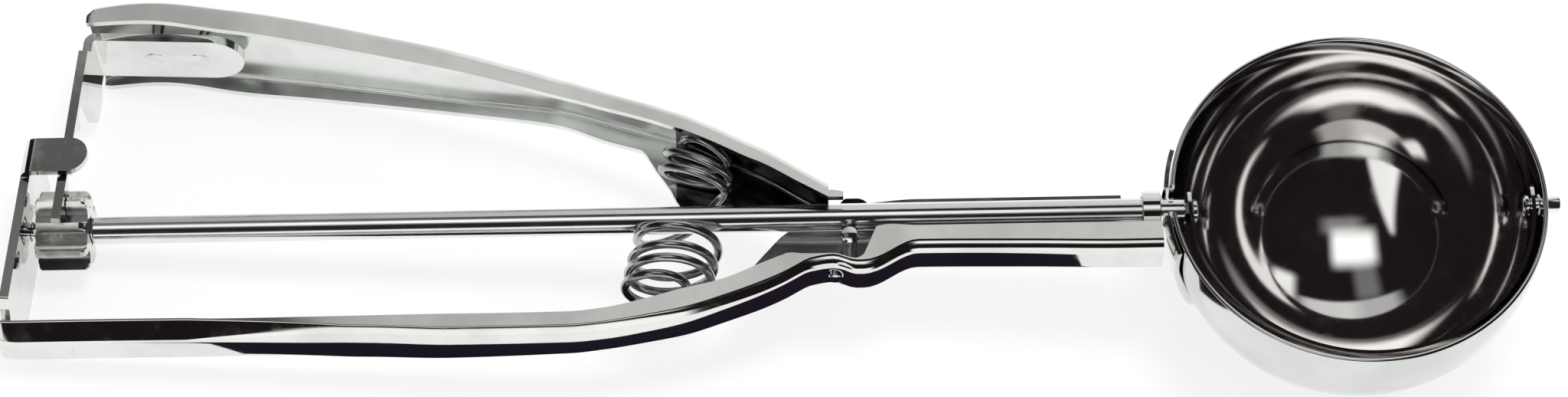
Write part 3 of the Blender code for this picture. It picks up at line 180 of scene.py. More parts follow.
@dataclass(frozen=True)
class SteelFinish:
    """Mirror-polished steel with handling marks, polishing lines and slight waves."""

    name: str
    tint: Point
    shade: Point
    roughness: float
    smudge: float            # roughness that handling marks add
    line_scale: float        # polishing lines to a metre
    line_stretch: Point      # how far the lines run along each axis
    line_depth: float
    wave_scale: float        # waves of the pressed sheet to a metre
    wave_depth: float

    def material(self) -> bpy.types.Material:
        """Return the finish as a procedural material.

        Returns:
            The material.
        """
        material = bpy.data.materials.new(self.name)
        material.use_nodes = True
        graph = Graph(material.node_tree)
        place = graph.add("ShaderNodeTexCoord").outputs["Object"]
        cloud = graph.add("ShaderNodeTexNoise", Vector=place, Scale=self.wave_scale * CLOUD_SHARE,
                          Detail=3.0, Roughness=0.55)
        tone = graph.ramp(cloud.outputs["Fac"], list(zip(TONE_RANGE, (self.shade, self.tint))))
        marks = graph.add("ShaderNodeTexNoise", Vector=place, Scale=MARK_SCALE, Detail=6.0,
                          Roughness=0.62, Distortion=0.6)
        smear = graph.add("ShaderNodeMapRange", Value=marks.outputs["Fac"],
                          From_Min=MARK_RANGE[0], From_Max=MARK_RANGE[1], To_Min=self.roughness,
                          To_Max=self.roughness + self.smudge)
        run = graph.add("ShaderNodeVectorMath", i0=place, i1=self.line_stretch)
        run.operation = "MULTIPLY"
        lines = graph.add("ShaderNodeTexNoise", Vector=run.outputs[0], Scale=self.line_scale,
                          Detail=4.0, Roughness=0.7)
        waves = graph.add("ShaderNodeTexNoise", Vector=place, Scale=self.wave_scale, Detail=1.0,
                          Roughness=0.4)
        pressed = graph.add("ShaderNodeBump", Strength=1.0, Distance=self.wave_depth,
                            Height=waves.outputs["Fac"])
        polished = graph.add("ShaderNodeBump", Strength=POLISH_STRENGTH, Distance=self.line_depth,
                             Height=lines.outputs["Fac"], Normal=pressed.outputs["Normal"])
        shader = graph.add("ShaderNodeBsdfPrincipled", Base_Color=tone, Metallic=1.0,
                           Roughness=smear.outputs["Result"],
                           Normal=polished.outputs["Normal"])
        graph.add("ShaderNodeOutputMaterial", Surface=shader.outputs["BSDF"])
        return material


LONG_LINES = (0.06, 1.0, 1.0)
ROUND_LINES = (1.0, 1.0, 0.15)
SHEET_STEEL = SteelFinish("sheet_steel", (0.80, 0.81, 0.79), (0.70, 0.70, 0.69), 0.055, 0.10,
                          2400.0, LONG_LINES, 0.0000012, 55.0, 0.00006)
SATIN_STEEL = SteelFinish("satin_steel", (0.82, 0.84, 0.82), (0.72, 0.74, 0.72), 0.20, 0.06,
                          2000.0, LONG_LINES, 0.0000012, 70.0, 0.00003)
# Near-black steel: painted shade that stands in for the dark reflections inside the squeezed
# handle's lug.
PAINTED_SHADE_STEEL = SteelFinish("painted_shade_steel", (0.16, 0.17, 0.165), (0.04, 0.04, 0.045), 0.14, 0.08,
                          2000.0, LONG_LINES, 0.0000012, 90.0, 0.00004)
BOWL_STEEL = SteelFinish("bowl_steel", (0.92, 0.91, 0.905), (0.84, 0.82, 0.81), 0.055, 0.07,
                         2600.0, ROUND_LINES, 0.0000008, 40.0, 0.00003)
# The bowl's outside: rougher than the inside, and darker, a painted shade that dims its reflection
# of the floor.
SPUN_AND_SHADED_STEEL = SteelFinish("spun_and_shaded_steel", (0.72, 0.735, 0.725), (0.64, 0.655, 0.645), 0.10, 0.10,
                         2600.0, ROUND_LINES, 0.0000010, 40.0, 0.00004)
ROD_STEEL = SteelFinish("rod_steel", (0.86, 0.87, 0.86), (0.79, 0.80, 0.79), 0.13, 0.06,
                        2600.0, (1.0, 0.2, 0.2), 0.0000010, 35.0, 0.00002)
BLADE_STEEL = SteelFinish("blade_steel", (0.84, 0.85, 0.84), (0.77, 0.78, 0.77), 0.05, 0.08,
                          2600.0, LONG_LINES, 0.0000010, 60.0, 0.00003)
GEAR_STEEL = SteelFinish("gear_steel", (0.74, 0.75, 0.73), (0.60, 0.61, 0.60), 0.16, 0.14,
                         1500.0, LONG_LINES, 0.0000040, 160.0, 0.00005)
RIVET_STEEL = SteelFinish("rivet_steel", (0.80, 0.80, 0.79), (0.68, 0.68, 0.67), 0.10, 0.12,
                          1800.0, ROUND_LINES, 0.0000020, 180.0, 0.00003)
WIRE_STEEL = SteelFinish("wire_steel", (0.52, 0.53, 0.52), (0.34, 0.35, 0.35), 0.20, 0.12,
                         1800.0, ROUND_LINES, 0.0000030, 140.0, 0.00004)


class ToolFrame:
    """The tool's own frame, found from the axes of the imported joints."""

    def __init__(self, joints: list[dict], pivot: Vector) -> None:
        """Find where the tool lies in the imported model.

        Args:
            joints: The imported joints.
            pivot: The handle's pivot in the tool's frame.
        """
        named = {joint["name"]: joint for joint in joints}
        along = Vector(named["rod_turn"]["axis"]).normalized()
        up = Vector(named["squeeze"]["axis"]).normalized()
        across = up.cross(along).normalized()
        turn = Matrix((along, across, along.cross(across))).transposed()
        origin = Vector(named["squeeze"]["pos_m"]) - turn @ pivot
        self.matrix = Matrix.Translation(origin) @ turn.to_4x4()

    def place(self, point: Vector) -> Vector:
        """Return a point of the tool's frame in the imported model."""
        return self.matrix @ point

    def direction(self, run: Vector) -> Vector:
        """Return a direction of the tool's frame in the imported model."""
        return (self.matrix.to_3x3() @ run).normalized()


class Shapes:
    """Mesh forms that the scoop's pieces are made of."""

    @staticmethod
    def ring_loft(rings: list[list[Vector]]) -> bmesh.types.BMesh:
        """Return a closed solid through rings of equally many points.

        Args:
            rings: Rings of points from one end to the other.

        Returns:
            The solid.
        """
        shape = bmesh.new()
        rows = [[shape.verts.new(point) for point in ring] for ring in rings]
        count = len(rows[0])
        for low, high in zip(rows, rows[1:]):
            for i in range(count):
                j = (i + 1) % count
                shape.faces.new((low[i], low[j], high[j], high[i]))
        shape.faces.new(rows[0])
        shape.faces.new(list(reversed(rows[-1])))
        return shape

    @staticmethod
    def turned(profile: list[tuple[float, float]], direction: Point, centre: Vector | Point,
               steps: int = 64) -> bmesh.types.BMesh:
        """Return a profile turned about an axis.

        Args:
            profile: Pairs of distance along the axis and radius.
            direction: The axis.
            centre: A point on the axis, where the distance is zero.
            steps: Sides of the turned form.

        Returns:
            The solid.
        """
        axis = Vector(direction).normalized()
        across = axis.orthogonal().normalized()
        beside = axis.cross(across)
        rings = []
        for along, radius in profile:
            ring = []
            for i in range(steps):
                angle = 2.0 * math.pi * (i + 0.5) / steps
                spoke = across * math.cos(angle) + beside * math.sin(angle)
                ring.append(Vector(centre) + axis * along + spoke * radius)
            rings.append(ring)
        return Shapes.ring_loft(rings)

    @staticmethod
    def box(low: Point, high: Point) -> bmesh.types.BMesh:
        """Return a box between two corners.

        Args:
            low: The lowest corner.
            high: The highest corner.

        Returns:
            The solid.
        """
        (x0, y0, z0), (x1, y1, z1) = low, high
        lower = [Vector(p) for p in ((x0, y0, z0), (x1, y0, z0), (x1, y1, z0), (x0, y1, z0))]
        return Shapes.ring_loft([lower, [Vector((p.x, p.y, z1)) for p in lower]])

    @staticmethod
    def strip(stations: list[tuple[float, float, float, float]],
              thickness: float) -> bmesh.types.BMesh:
        """Return a strip of sheet along a path in the XY plane.

        Args:
            stations: Places (x, y, lower Z, upper Z) on the strip's middle surface.
            thickness: The sheet's thickness.

        Returns:
            The solid.
        """
        rings = []
        for i, (x, y, low, high) in enumerate(stations):
            before, after = stations[max(i - 1, 0)], stations[min(i + 1, len(stations) - 1)]
            run = Vector((after[0] - before[0], after[1] - before[1], 0.0)).normalized()
            side = Vector((-run.y, run.x, 0.0)) * (thickness / 2.0)
            point, down, up = Vector((x, y, 0.0)), Vector((0, 0, low)), Vector((0, 0, high))
            rings.append([point - side + down, point + side + down,
                          point + side + up, point - side + up])
        return Shapes.ring_loft(rings)

    @staticmethod
    def bend(corner: Vector, start_run: Vector, end_run: Vector, radius: float,
             steps: int = 12) -> list[Vector]:
        """Return the points of a round bend.

        Args:
            corner: Where the two straight runs would meet.
            start_run: The direction into the bend.
            end_run: The direction out of it.
            radius: The bend's radius.
            steps: Pieces of the bend.

        Returns:
            The points in order.
        """
        start, end = start_run.normalized(), end_run.normalized()
        turn = start.angle(end)
        entry = corner - start * (radius * math.tan(turn / 2.0))
        toward = (end - start * start.dot(end)).normalized()
        centre = entry + toward * radius
        points = []
        for i in range(steps + 1):
            angle = turn * i / steps
            points.append(centre - toward * (radius * math.cos(angle))
                          + start * (radius * math.sin(angle)))
        return points

    @staticmethod
    def eased(xs: tuple[float, ...], values: tuple[float, ...], x: float) -> float:
        """Return a value on the smooth curve through points, without overshoot.

        Args:
            xs: Places in rising order.
            values: The value at each place.
            x: The place that is asked for.

        Returns:
            The value there.
        """
        if x <= xs[0]:
            return values[0]
        if x >= xs[-1]:
            return values[-1]
        slopes = [(values[i + 1] - values[i]) / (xs[i + 1] - xs[i])
                  for i in range(len(xs) - 1)]
        tangents = [slopes[0]]
        for before, after in zip(slopes, slopes[1:]):
            level = before * after <= 0.0
            tangents.append(0.0 if level else 2.0 * before * after / (before + after))
        tangents.append(slopes[-1])
        i = max(k for k in range(len(xs) - 1) if xs[k] <= x)
        span = xs[i + 1] - xs[i]
        t = (x - xs[i]) / span
        return ((1 + 2 * t) * (1 - t) ** 2 * values[i] + t * t * (3 - 2 * t) * values[i + 1]
                + t * (1 - t) ** 2 * span * tangents[i]
                - t * t * (1 - t) * span * tangents[i + 1])


class Workshop:
    """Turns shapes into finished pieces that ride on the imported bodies."""

    def __init__(self, tool: ToolFrame) -> None:
        """Keep the tool's frame and one material for each finish.

        Args:
            tool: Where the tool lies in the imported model.
        """
        self.tool = tool
        self.materials: dict[SteelFinish, bpy.types.Material] = {}

    def material(self, finish: SteelFinish) -> bpy.types.Material:
        """Return the finish's material, made once.

        Args:
            finish: The finish.

        Returns:
            The material.
        """
        if finish not in self.materials:
            self.materials[finish] = finish.material()
        return self.materials[finish]

    def raw(self, name: str, shape: bmesh.types.BMesh) -> bpy.types.Object:
        """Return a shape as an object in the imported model's frame.

        Args:
            name: The object's name.
            shape: The shape in the tool's frame.

        Returns:
            The object.
        """
        bmesh.ops.recalc_face_normals(shape, faces=shape.faces)
        bmesh.ops.transform(shape, matrix=self.tool.matrix, verts=shape.verts)
        mesh = bpy.data.meshes.new(name)
        shape.to_mesh(mesh)
        shape.free()
        piece = bpy.data.objects.new(name, mesh)
        bpy.context.scene.collection.objects.link(piece)
        return piece

    def work(self, piece: bpy.types.Object, shape: bmesh.types.BMesh, join: Join) -> None:
        """Cut a piece by a shape, or join the shape to it.

        Args:
            piece: The piece to change.
            shape: The cutting or joining shape, in the tool's frame.
            join: Which of the two is done.
        """
        helper = self.raw(piece.name + "_helper", shape)
        modifier = piece.modifiers.new("work", "BOOLEAN")
        modifier.operation = join.value
        modifier.object = helper
        graph = bpy.context.evaluated_depsgraph_get()
        mesh = bpy.data.meshes.new_from_object(piece.evaluated_get(graph))
        piece.modifiers.clear()
        old = piece.data
        piece.data = mesh
        bpy.data.meshes.remove(old)
        bpy.data.objects.remove(helper, do_unlink=True)

    def drill(self, piece: bpy.types.Object, ends: tuple[float, float], radius: float,
              axis: Point, centre: Vector | Point = (0.0, 0.0, 0.0), steps: int = 64) -> None:
        """Drill a round hole in a piece.

        Args:
            piece: The piece to drill.
            ends: Where the drill starts and stops along its axis.
            radius: The hole's radius.
            axis: The drill's direction.
            centre: A point on the axis, from which the ends are measured.
            steps: Sides of the hole.
        """
        bit = Shapes.turned([(end, radius) for end in ends], axis, centre, steps)
        self.work(piece, bit, Join.CUT)

    def finish(self, piece: bpy.types.Object, look: SteelFinish, body: Body, slot: Slot,
               nodes: tuple[str, ...], edge: float = 0.0) -> bpy.types.Object:
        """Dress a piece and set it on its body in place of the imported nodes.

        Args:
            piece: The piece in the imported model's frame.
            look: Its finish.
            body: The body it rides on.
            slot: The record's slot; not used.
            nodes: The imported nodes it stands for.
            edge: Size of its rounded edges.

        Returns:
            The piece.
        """
        mesh = piece.data
        mesh.shade_smooth()
        mesh.set_sharp_from_angle(angle=SHARP)
        mesh.materials.clear()
        mesh.materials.append(self.material(look))
        if edge:
            modifier = piece.modifiers.new("edges", "BEVEL")
            modifier.width = edge
            modifier.segments = 3
            modifier.limit_method = "ANGLE"
            modifier.angle_limit = ROUNDED
            modifier.harden_normals = True
        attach(piece, body.value)
        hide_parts(*nodes)
        log.info("%s stands for %s on %s", piece.name, ", ".join(nodes), body.value)
        return piece

    def dress_inside(self, piece: bpy.types.Object, side: float, dark_from: float) -> None:
        """Give the inner faces of a channel a satin finish, and from dark_from on a near-black
        painted shade that stands in for the dark reflections inside the lug.

        Args:
            piece: The channel.
            side: Plus one where its web lies above the rod, minus one below.
            dark_from: X from which the inner faces are painted near-black, as painted shade for
                the dark reflections there.
        """
        for look in (SATIN_STEEL, PAINTED_SHADE_STEEL):
            piece.data.materials.append(self.material(look))
        for face, place, normal in self.faces(piece):
            flange = abs(normal.z) > FACING and normal.z * place.z < 0.0
            if flange or normal.y * side < -FACING:
                # Faces past dark_from get the near-black painted shade, the others satin steel.
                face.material_index = 2 if place.x > dark_from else 1

    def dress_outside(self, piece: bpy.types.Object, look: SteelFinish) -> None:
        """Give the faces that look away from the bowl's centre their own finish, a darker steel
        that is partly painted shade.

        Args:
            piece: The bowl.
            look: The finish of its outside, rougher and darker; the darker colour is painted
                shade.
        """
        piece.data.materials.append(self.material(look))
        for face, place, normal in self.faces(piece):
            if normal.dot(place) > 0.0:
                face.material_index = 1

    def faces(self, piece: bpy.types.Object) -> list[tuple[bpy.types.MeshPolygon, Vector,
                                                           Vector]]:
        """Return a piece's faces with their places and normals in the tool's frame.

        Args:
            piece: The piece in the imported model's frame.

        Returns:
            One (face, place, normal) for each face.
        """
        back = self.tool.matrix.inverted()
        turn = back.to_3x3()
        return [(face, back @ face.center, turn @ face.normal) for face in piece.data.polygons]


Curve = tuple[tuple[float, ...], tuple[float, ...]]


@dataclass(frozen=True)
class Pressing:
    """How a pressed channel's faces curve, each as places along X and values.

    The depth is the share of the flange that the corner takes up, the bend is the
    corner's radius on the flange's side, the facet is the share of the depth that is
    a straight slope, the slope is its angle, and the draft leans the flanges inwards.
    """

    depth: Curve
    bend: Curve
    facet: Curve
    slope: Curve
    draft: Curve


class Channel:
    """A pressed channel whose section changes along the handle."""

    def __init__(self, stations: tuple[Station, ...], side: float, sheet: float,
                 corner: float, form: Pressing, corner_steps: int = 20,
                 bay: float = 0.0009, support: float = 0.0001) -> None:
        """Keep the stations in order of X.

        Args:
            stations: (distance from the bowl, web, half width, near and far height).
            side: Plus one where the web lies above the rod, minus one below.
            sheet: The sheet's thickness.
            corner: Outside radius of the channel's corners.
            form: How the faces curve.
            corner_steps: Faces round each corner.
            bay: Longest distance between two sections.
            support: Width of the strip that keeps the flanges flat beside the corners.
        """
        self.columns = list(zip(*sorted((-row[0],) + row[1:] for row in stations)))
        self.side, self.sheet, self.corner = side, sheet, corner
        self.form, self.corner_steps, self.bay = form, corner_steps, bay
        self.support = support

    def value(self, column: int, x: float) -> float:
        """Return one size of the section at X."""
        return Shapes.eased(self.columns[0], self.columns[column], x)

    def web(self, x: float) -> float:
        """Return the Y of the web's outer face."""
        return self.side * self.value(1, x)

    def web_inner(self, x: float) -> float:
        """Return the Y of the web's inner face."""
        return self.web(x) - self.side * self.sheet

    def web_slope(self, x: float) -> float:
        """Return the web's slope at X."""
        step = self.sheet / 2.0
        return (self.web(x + step) - self.web(x - step)) / (2.0 * step)

    def outline(self, x: float, inset: float) -> list[Vector]:
        """Return one face of the section, from the near edge to the far edge.

        Args:
            x: Where the section lies.
            inset: Zero for the outer face, the sheet's thickness for the inner one.

        Returns:
            The points of the face.
        """
        web, half = self.web(x), self.value(2, x)
        near, far = self.value(3, x), self.value(4, x)
        depth = bend = self.corner - inset
        if not inset:
            depth += Shapes.eased(*self.form.depth, x) * max(near - self.corner, 0.0)
            bend = Shapes.eased(*self.form.bend, x)
        middle = math.radians(Shapes.eased(*self.form.slope, x))
        facet = 0.0 if inset else depth * Shapes.eased(*self.form.facet, x)
        bend = min(bend, (depth - facet) / math.sin(middle))
        crown = (depth - facet - bend * math.sin(middle)) / (1.0 - math.sin(middle))
        start = depth + inset
        draft = Shapes.eased(*self.form.draft, x)
        points = []
        for sign, height in ((1.0, near), (-1.0, far)):
            lean = draft * max(height - start, 0.0)
            root = half - inset + min(lean, 0.0)
            edge = half - inset - max(lean, 0.0)
            height = max(height, start + 2.0 * self.support)
            face = [(edge, height), (root + (edge - root) * self.support / (height - start),
                                     start + self.support)]
            for i in range(self.corner_steps + 1):
                share = 2.0 * i / self.corner_steps
                first = middle * min(share, 1.0)
                rest = middle + (math.pi / 2.0 - middle) * max(share - 1.0, 0.0)
                past = facet if share > 1.0 else 0.0
                drop = bend * (1.0 - math.cos(first)) + past * math.tan(middle)
                drop += crown * (math.cos(middle) - math.cos(rest))
                rise = bend * math.sin(first) + past
                rise += crown * (math.sin(rest) - math.sin(middle))
                face.append((root - drop, start - rise))
            line = [Vector((x, web - self.side * y, sign * z)) for z, y in face]
            points += line if sign > 0 else line[::-1]
        return points

    def places(self, start: float, end: float) -> list[float]:
        """Return the X of every section between two ends.

        Args:
            start: X of the left end.
            end: X of the right end.

        Returns:
            The places in order.
        """
        knots = [start] + [x for x in self.columns[0] if start < x < end] + [end]
        places = [start]
        for low, high in zip(knots, knots[1:]):
            bays = math.ceil((high - low) / self.bay)
            places += [low + (high - low) * (i + 1) / bays for i in range(bays)]
        return places

    def solid(self, start: float, end: float, near_tail: list[Point] = (),
              far_tail: list[Point] = ()) -> bmesh.types.BMesh:
        """Return the channel's solid.

        Args:
            start: X of its left end.
            end: X of its right end.
            near_tail: Places (X, web side Y, free side Y) of the near flange's run-on.
            far_tail: The same for the far flange.

        Returns:
            The solid.
        """
        shape = bmesh.new()
        rows = []
        for x in self.places(start, end):
            rows.append([[shape.verts.new(p) for p in self.outline(x, inset)]
                         for inset in (0.0, self.sheet)])
        last = len(rows[0][0]) - 1
        for (outer_a, inner_a), (outer_b, inner_b) in zip(rows, rows[1:]):
            for i in range(last):
                shape.faces.new((outer_a[i], outer_a[i + 1], outer_b[i + 1], outer_b[i]))
                shape.faces.new((inner_a[i], inner_b[i], inner_b[i + 1], inner_a[i + 1]))
            for i in (0, last):
                shape.faces.new((outer_a[i], outer_b[i], inner_b[i], inner_a[i]))
        for row in (rows[0], rows[-1]):
            outer, inner = row
            for i in range(last):
                tail = {0: near_tail, last - 1: far_tail}.get(i, ())
                if row is rows[-1] and tail:
                    corners = [outer[i], outer[i + 1], inner[i + 1], inner[i]]
                    self.extend(shape, corners, tail, i == 0)
                else:
                    shape.faces.new((outer[i], outer[i + 1], inner[i + 1], inner[i]))
        return shape

    @staticmethod
    def extend(shape: bmesh.types.BMesh, corners: list[bmesh.types.BMVert],
               tail: list[Point], reverse: bool) -> None:
        """Carry a flange's end on past the web.

        Args:
            shape: The shape that the flange belongs to.
            corners: The flange's end, as four corners.
            tail: Places (X, web side Y, free side Y) that it runs through.
            reverse: Whether the corners start at the free side.
        """
        previous = corners
        for x, web_y, free_y in tail:
            first, second = (free_y, web_y) if reverse else (web_y, free_y)
            heights = (first, second, second, first)
            ring = [shape.verts.new((x, y, v.co.z)) for y, v in zip(heights, corners)]
            for i in range(4):
                j = (i + 1) % 4
                shape.faces.new((previous[i], previous[j], ring[j], ring[i]))
            previous = ring
        shape.faces.new(previous)


@dataclass
class Drive:
    """Rod, pinion, blade and tip pin, which turn together."""

    rod_radius: float = 0.0018
    neck: float = 0.0016
    stake_radius: float = 0.0015
    stake_length: float = 0.0007
    stub_radius: float = 0.0010
    stub_end: float = -0.176371
    thrust: float = -0.173415
    blade_radius: float = 0.0227
    blade_shift: float = 0.0005
    blade_sheet: float = 0.0005
    blade_width: float = 0.0042
    blade_tab: float = 0.0028
    pin_radius: float = 0.0011
    pin_end: float = 0.026695
    pin_head_radius: float = 0.0015
    pin_head_length: float = 0.0007
    teeth: int = 8
    pitch_radius: float = 0.0043
    addendum: float = 0.0009
    dedendum: float = 0.0011
    tooth_root: float = 0.0016
    tooth_pitch: float = 0.0013
    tooth_tip: float = 0.0008
    pinion_length: float = 0.0068
    pinion_distance: float = 0.1694
    chamfer: float = 0.0009
    seat: float = 0.0024

    def build(self, shop: Workshop) -> None:
        """Make the four pieces.

        Args:
            shop: The workshop that dresses and mounts the pieces.
        """
        self.make_rod(shop)
        self.make_pinion(shop)
        self.make_blade(shop)
        self.make_tip_pin(shop)

    def make_rod(self, shop: Workshop) -> None:
        """Make the rod with its square neck and seat, its stub and its staked end.

        Args:
            shop: The workshop that dresses and mounts the pieces.
        """
        tab = self.blade_radius - self.blade_shift
        shoulder, stake = -(tab + SEAT), -(tab - self.blade_sheet - SEAT)
        low = -(self.pinion_distance + self.pinion_length / 2.0)
        high = -(self.pinion_distance - self.pinion_length / 2.0) + SEAT
        tip, soft = self.stub_radius * 0.35, 0.0002
        plan = [(self.stub_end, self.stub_radius - tip, False),
                (self.stub_end + tip * 0.4, self.stub_radius - tip * 0.25, False),
                (self.stub_end + tip, self.stub_radius, False),
                (self.thrust, self.stub_radius, False),
                (self.thrust, self.seat / 2.0, False), (low, self.seat / 2.0, False),
                (low, self.seat / 2.0, True), (high, self.seat / 2.0, True),
                (high, self.rod_radius - soft, False), (high + soft, self.rod_radius, False),
                (shoulder - soft, self.rod_radius, False),
                (shoulder, self.rod_radius - soft, False), (shoulder, self.neck / 2.0, True),
                (stake, self.neck / 2.0, True), (stake, self.stake_radius, False),
                (stake + self.stake_length * 0.5, self.stake_radius, False),
                (stake + self.stake_length * 0.85, self.stake_radius * 0.82, False),
                (stake + self.stake_length, self.stake_radius * 0.5, False)]
        rings, steps = [], 96
        for x, radius, square in plan:
            ring = []
            for i in range(steps):
                angle = 2.0 * math.pi * i / steps
                widest = max(abs(math.cos(angle)), abs(math.sin(angle)))
                reach = radius / widest if square else radius
                ring.append(Vector((x, reach * math.cos(angle), reach * math.sin(angle))))
            rings.append(ring)
        shape = Shapes.ring_loft(rings)
        bmesh.ops.remove_doubles(shape, verts=shape.verts, dist=1e-7)
        bmesh.ops.dissolve_degenerate(shape, edges=shape.edges, dist=1e-7)
        shop.finish(shop.raw("polished_rod", shape), ROD_STEEL, Body.ROTOR, Slot.BRIGHT,
                    ("rod",))

    def tooth_line(self) -> list[tuple[float, float]]:
        """Return the pinion's outline as (radius, angle) pairs.

        Returns:
            The outline, tooth by tooth.
        """
        outline = []
        outer = self.pitch_radius + self.addendum
        heights = (self.pitch_radius - self.dedendum, self.pitch_radius, outer)
        widths = (self.tooth_root, self.tooth_pitch, self.tooth_tip)
        for tooth in range(self.teeth):
            middle = 2.0 * math.pi * (tooth + 0.5) / self.teeth
            flank = []
            for i in range(9):
                radius = heights[0] + (heights[2] - heights[0]) * i / 8.0
                width = Shapes.eased(heights, widths, radius)
                flank.append((radius, width / 2.0 / radius))
            outline += [(radius, middle - half) for radius, half in flank]
            outline.append((outer, middle))
            outline += [(radius, middle + half) for radius, half in reversed(flank)]
        return outline

    def make_pinion(self, shop: Workshop) -> None:
        """Make the coarse pinion with rounded ends.

        Args:
            shop: The workshop that dresses and mounts the pieces.
        """
        outer = self.pitch_radius + self.addendum
        low = -(self.pinion_distance + self.pinion_length / 2.0)
        high = low + self.pinion_length
        ends = []
        shares = (1.0, 0.75, 0.4, 0.12, 0.0)
        for share in shares:
            drop = self.chamfer * (1.0 - math.sqrt(1.0 - share * share))
            ends.append((low + self.chamfer * 0.5 * (1.0 - share), outer - drop))
        for share in reversed(shares):
            drop = self.chamfer * (1.0 - math.sqrt(1.0 - share * share))
            ends.append((high - self.chamfer * (1.0 - share), outer - drop))
        rings = []
        for x, widest in ends:
            rings.append([Vector((x, min(r, widest) * math.sin(a), min(r, widest) * math.cos(a)))
                          for r, a in self.tooth_line()])
        piece = shop.raw("toothed_pinion", Shapes.ring_loft(rings))
        half = self.seat / 2.0 + SEAT
        shop.work(piece, Shapes.box((low - self.chamfer, -half, -half),
                                    (high + self.chamfer, half, half)), Join.CUT)
        shop.finish(piece, GEAR_STEEL, Body.ROTOR, Slot.POLISHED, ("pinion",))

    def make_blade(self, shop: Workshop) -> None:
        """Make the curved strip that sweeps the bowl.

        Args:
            shop: The workshop that dresses and mounts the pieces.
        """
        middle = self.blade_radius - self.blade_sheet / 2.0
        half = self.blade_width / 2.0
        round_off = half * 0.9
        stations = []
        for i in range(10):
            share = 1.0 - i / 10.0
            rise = self.blade_tab - round_off + round_off * share
            reach = half * math.sqrt(1.0 - (share * 0.93) ** 2)
            stations.append((self.blade_shift - middle, rise, -reach, reach))
        steps = 120
        arc = []
        for i in range(steps + 1):
            angle = math.pi + math.pi * i / steps
            arc.append((self.blade_shift + middle * math.cos(angle),
                        middle * math.sin(angle), -half, half))
        mirrored = [(2.0 * self.blade_shift - x, y, low, high)
                    for x, y, low, high in reversed(stations)]
        shape = Shapes.strip(stations + arc + mirrored, self.blade_sheet)
        piece = shop.raw("sweeping_blade", shape)
        neck = self.neck / 2.0 + SEAT
        left = -(self.blade_radius - self.blade_shift)
        right = self.blade_radius + self.blade_shift
        shop.work(piece, Shapes.box((left - self.blade_sheet, -neck, -neck),
                                    (left + 2.0 * self.blade_sheet, neck, neck)), Join.CUT)
        hole = self.pin_radius + SEAT
        shop.drill(piece, (right - 2.0 * self.blade_sheet, right + self.blade_sheet), hole,
                   ALONG)
        shop.finish(piece, BLADE_STEEL, Body.ROTOR, Slot.BRIGHT, ("scraper_blade",), 0.00008)

    def make_tip_pin(self, shop: Workshop) -> None:
        """Make the headed pin at the bowl's tip.

        Args:
            shop: The workshop that dresses and mounts the pieces.
        """
        seat = self.blade_radius + self.blade_shift - self.blade_sheet - SEAT
        head, tip = self.pin_head_length, self.pin_radius * 0.25
        profile = [(seat - head, self.pin_head_radius * 0.55),
                   (seat - head * 0.86, self.pin_head_radius * 0.82),
                   (seat - head * 0.6, self.pin_head_radius), (seat, self.pin_head_radius),
                   (seat, self.pin_radius), (self.pin_end - tip, self.pin_radius),
                   (self.pin_end - tip * 0.3, self.pin_radius - tip * 0.35),
                   (self.pin_end, self.pin_radius - tip)]
        piece = shop.raw("blade_tip_pin", Shapes.turned(profile, (1, 0, 0), (0, 0, 0)))
        shop.finish(piece, ROD_STEEL, Body.ROTOR, Slot.BRIGHT, ("tip_pin",))


